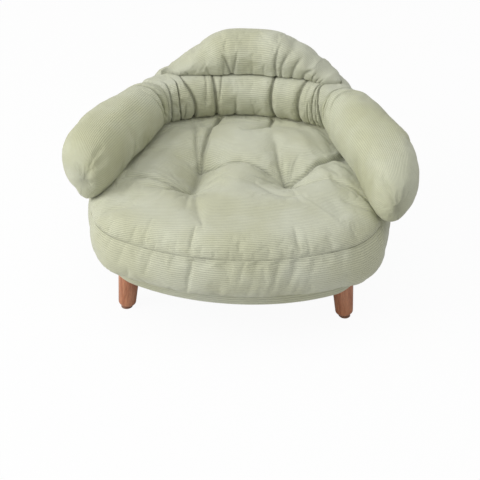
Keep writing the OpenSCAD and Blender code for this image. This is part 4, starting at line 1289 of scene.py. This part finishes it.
# The tapes: a thin woven strip with a thicker outer edge, and two rows of stitches
tape_section = [
    (-1.4, -TAPE_HALF), (0.5, -TAPE_HALF), (0.9, -TAPE_HALF + 0.4), (0.9, -TAPE_HALF + 1.1),
    (0.6, -TAPE_HALF + 1.6), (0.6, -COIL_HALF - 0.6), (0.85, -COIL_HALF), (0.85, COIL_HALF),
    (0.6, COIL_HALF + 0.6), (0.6, TAPE_HALF - 1.6), (0.9, TAPE_HALF - 1.1), (0.9, TAPE_HALF - 0.4),
    (0.5, TAPE_HALF), (-1.4, TAPE_HALF),
]
TAPE_ROWS = 240
zip_half = math.radians(ZIP_TURN)
angles = np.linspace(-zip_half, zip_half, TAPE_ROWS)
tape = on_zip(angles[:, None], *np.transpose(tape_section)[:, None, :])
tape = with_ends(tape, tape[0].mean(axis=0), tape[-1].mean(axis=0))
tape_faces = face_outward(tape, close_tube(TAPE_ROWS, len(tape_section)))
STITCH_PITCH = 3.4
STITCH_IN = 2.6
# One stitch: along the tape, its thickness, and how far it stands out
STITCH_ALONG = np.array([-1.2, -0.9, 0, 0.9, 1.2])
STITCH_THICK = np.array([0.05, 0.28, 0.34, 0.28, 0.05])
STITCH_OUT = np.array([0.35, 0.6, 0.75, 0.6, 0.35])
ROUND = 6
stitch_points, stitch_faces = [], []
stitch_count = int(2 * zip_half * FRONT_R / STITCH_PITCH)
side_angle = np.arange(ROUND) * 2 * math.pi / ROUND
for row_up in (-TAPE_HALF + STITCH_IN, TAPE_HALF - STITCH_IN):
    for count in range(stitch_count):
        middle = (count + 0.5) / stitch_count * 2 * zip_half - zip_half
        body = on_zip(middle + STITCH_ALONG[:, None] / FRONT_R,
                      STITCH_OUT[:, None] + STITCH_THICK[:, None] * np.cos(side_angle),
                      row_up + STITCH_THICK[:, None] * np.sin(side_angle))
        body = with_ends(body, body[0].mean(axis=0), body[-1].mean(axis=0))
        first = len(tape) + len(stitch_points) * len(body)
        stitch = face_outward(body - body[0], close_tube(len(STITCH_ALONG), ROUND))
        stitch_faces += [[first + corner for corner in face] for face in stitch]
        stitch_points.append(body)
tapes = make_piece("zip_tape_pair", np.concatenate([tape] + stitch_points), tape_faces + stitch_faces,
                   tape_cloth)
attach(tapes, "sofa")
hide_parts("zip_tapes")

# The coil: one flattened spiral of nylon wire along the middle of the tapes
COIL_STEPS = 12
coil_half = zip_half - math.radians(0.2)
coil_turns = int(2 * coil_half * FRONT_R / COIL_PITCH)
winding = np.arange(coil_turns * COIL_STEPS + 1) * 2 * math.pi / COIL_STEPS
wire_angle = -coil_half + 2 * coil_half * winding / winding[-1]
wire_out, wire_up = COIL_OUT + COIL_WIRE * np.cos(winding), (COIL_HALF - COIL_WIRE) * np.sin(winding)
thick = COIL_WIRE * np.cos(side_angle)
wire = on_zip(wire_angle[:, None], wire_out[:, None] + thick * np.cos(winding)[:, None],
              wire_up[:, None] + thick * np.sin(winding)[:, None])
sideways = on_zip(wire_angle + COIL_WIRE / FRONT_R, wire_out, wire_up) - on_zip(wire_angle, wire_out, wire_up)
wire = wire + sideways[:, None, :] * np.sin(side_angle)[None, :, None]
wire = with_ends(wire, wire[0].mean(axis=0), wire[-1].mean(axis=0))
coil = make_piece("zip_coil_spiral", wire, face_outward(wire, close_tube(len(winding), ROUND)), nylon)
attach(coil, "sofa")
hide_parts("zip_coil")


# Floor, light and camera
# A plain white studio floor under broad soft lamps. The camera stands where the photograph
# was taken from: a little right of the front, and 36 degrees up.

def lamp(name, place, aim, size, power, colour):
    """A round soft lamp, in metres and watts, that looks at a point."""
    data = bpy.data.lights.new(name, "AREA")
    data.shape = "DISK"
    data.size = size
    data.energy = power
    data.color = colour
    light = bpy.data.objects.new(name, data)
    light.location = place
    light.rotation_euler = (Vector(aim) - Vector(place)).to_track_quat("-Z", "Y").to_euler()
    bpy.context.scene.collection.objects.link(light)


lamp("key_lamp", (-2.15, -0.95, 1.6), (0, 0, 0.15), 1.8, 45, (1.0, 0.995, 0.98))
lamp("top_lamp", (0.1, -0.6, 2.6), (0, 0, 0.1), 2.0, 17, (1.0, 1.0, 1.0))

FLOOR_HALF = 5000.0
FLOOR_GREY = 0.78
# How much of what the camera sees of the floor is plain white; the rest takes the sofa's shadow
FLOOR_WHITE = 0.95
floor_finish = Finish("studio_floor")
dust = floor_finish.noise(floor_finish.place(), 3.0, 2.0)
pale = floor_finish.shaded((FLOOR_GREY, FLOOR_GREY, FLOOR_GREY), dust * 0.02 + 0.99)
matt = floor_finish.add("ShaderNodeBsdfDiffuse", {}, {"Color": pale})
glow = floor_finish.add("ShaderNodeEmission", {}, {"Color": (1.0, 1.0, 1.0), "Strength": 1.0})
seen = floor_finish.add("ShaderNodeLightPath", out="Is Camera Ray") * FLOOR_WHITE
both = floor_finish.add("ShaderNodeMixShader", {}, {0: seen, 1: matt, 2: glow})
floor_finish.add("ShaderNodeOutputMaterial", {}, {"Surface": both})
floor_corners = [(side_x * FLOOR_HALF, side_y * FLOOR_HALF, 0)
                 for side_x, side_y in ((-1, -1), (1, -1), (1, 1), (-1, 1))]
floor = make_piece("studio_floor", floor_corners, [[0, 1, 2, 3]], floor_finish)

# The world lights the sofa at half strength, and is plain white where it is seen itself
world = bpy.data.worlds.new("studio")
bpy.context.scene.world = world
sky = Finish("studio", world)
lit, plain = (sky.add("ShaderNodeBackground", {}, {"Color": (1.0, 1.0, 1.0), "Strength": strength})
              for strength in (0.5, 1.0))
seen = sky.add("ShaderNodeLightPath", out="Is Camera Ray")
for ray in ("Is Glossy Ray", "Is Transmission Ray"):
    seen = seen.math("MAXIMUM", sky.add("ShaderNodeLightPath", out=ray))
both = sky.add("ShaderNodeMixShader", {}, {0: seen, 1: lit, 2: plain})
sky.add("ShaderNodeOutputWorld", {}, {"Surface": both})

CAMERA_AZIMUTH = math.radians(3.8)
CAMERA_ELEVATION = math.radians(36)
CAMERA_DISTANCE = 1.5
CAMERA_TARGET = Vector((0, -0.014, 0.051))
camera_data = bpy.data.cameras.new("camera")
camera_data.sensor_width = 36
camera_data.lens = 67.5
camera = bpy.data.objects.new("camera", camera_data)
camera.location = CAMERA_TARGET + CAMERA_DISTANCE * Vector((
    math.sin(CAMERA_AZIMUTH) * math.cos(CAMERA_ELEVATION),
    -math.cos(CAMERA_AZIMUTH) * math.cos(CAMERA_ELEVATION),
    math.sin(CAMERA_ELEVATION)))
camera.rotation_euler = (CAMERA_TARGET - camera.location).to_track_quat("-Z", "Y").to_euler()
bpy.context.scene.collection.objects.link(camera)
bpy.context.scene.camera = camera
bpy.context.scene.view_settings.view_transform = "Standard"
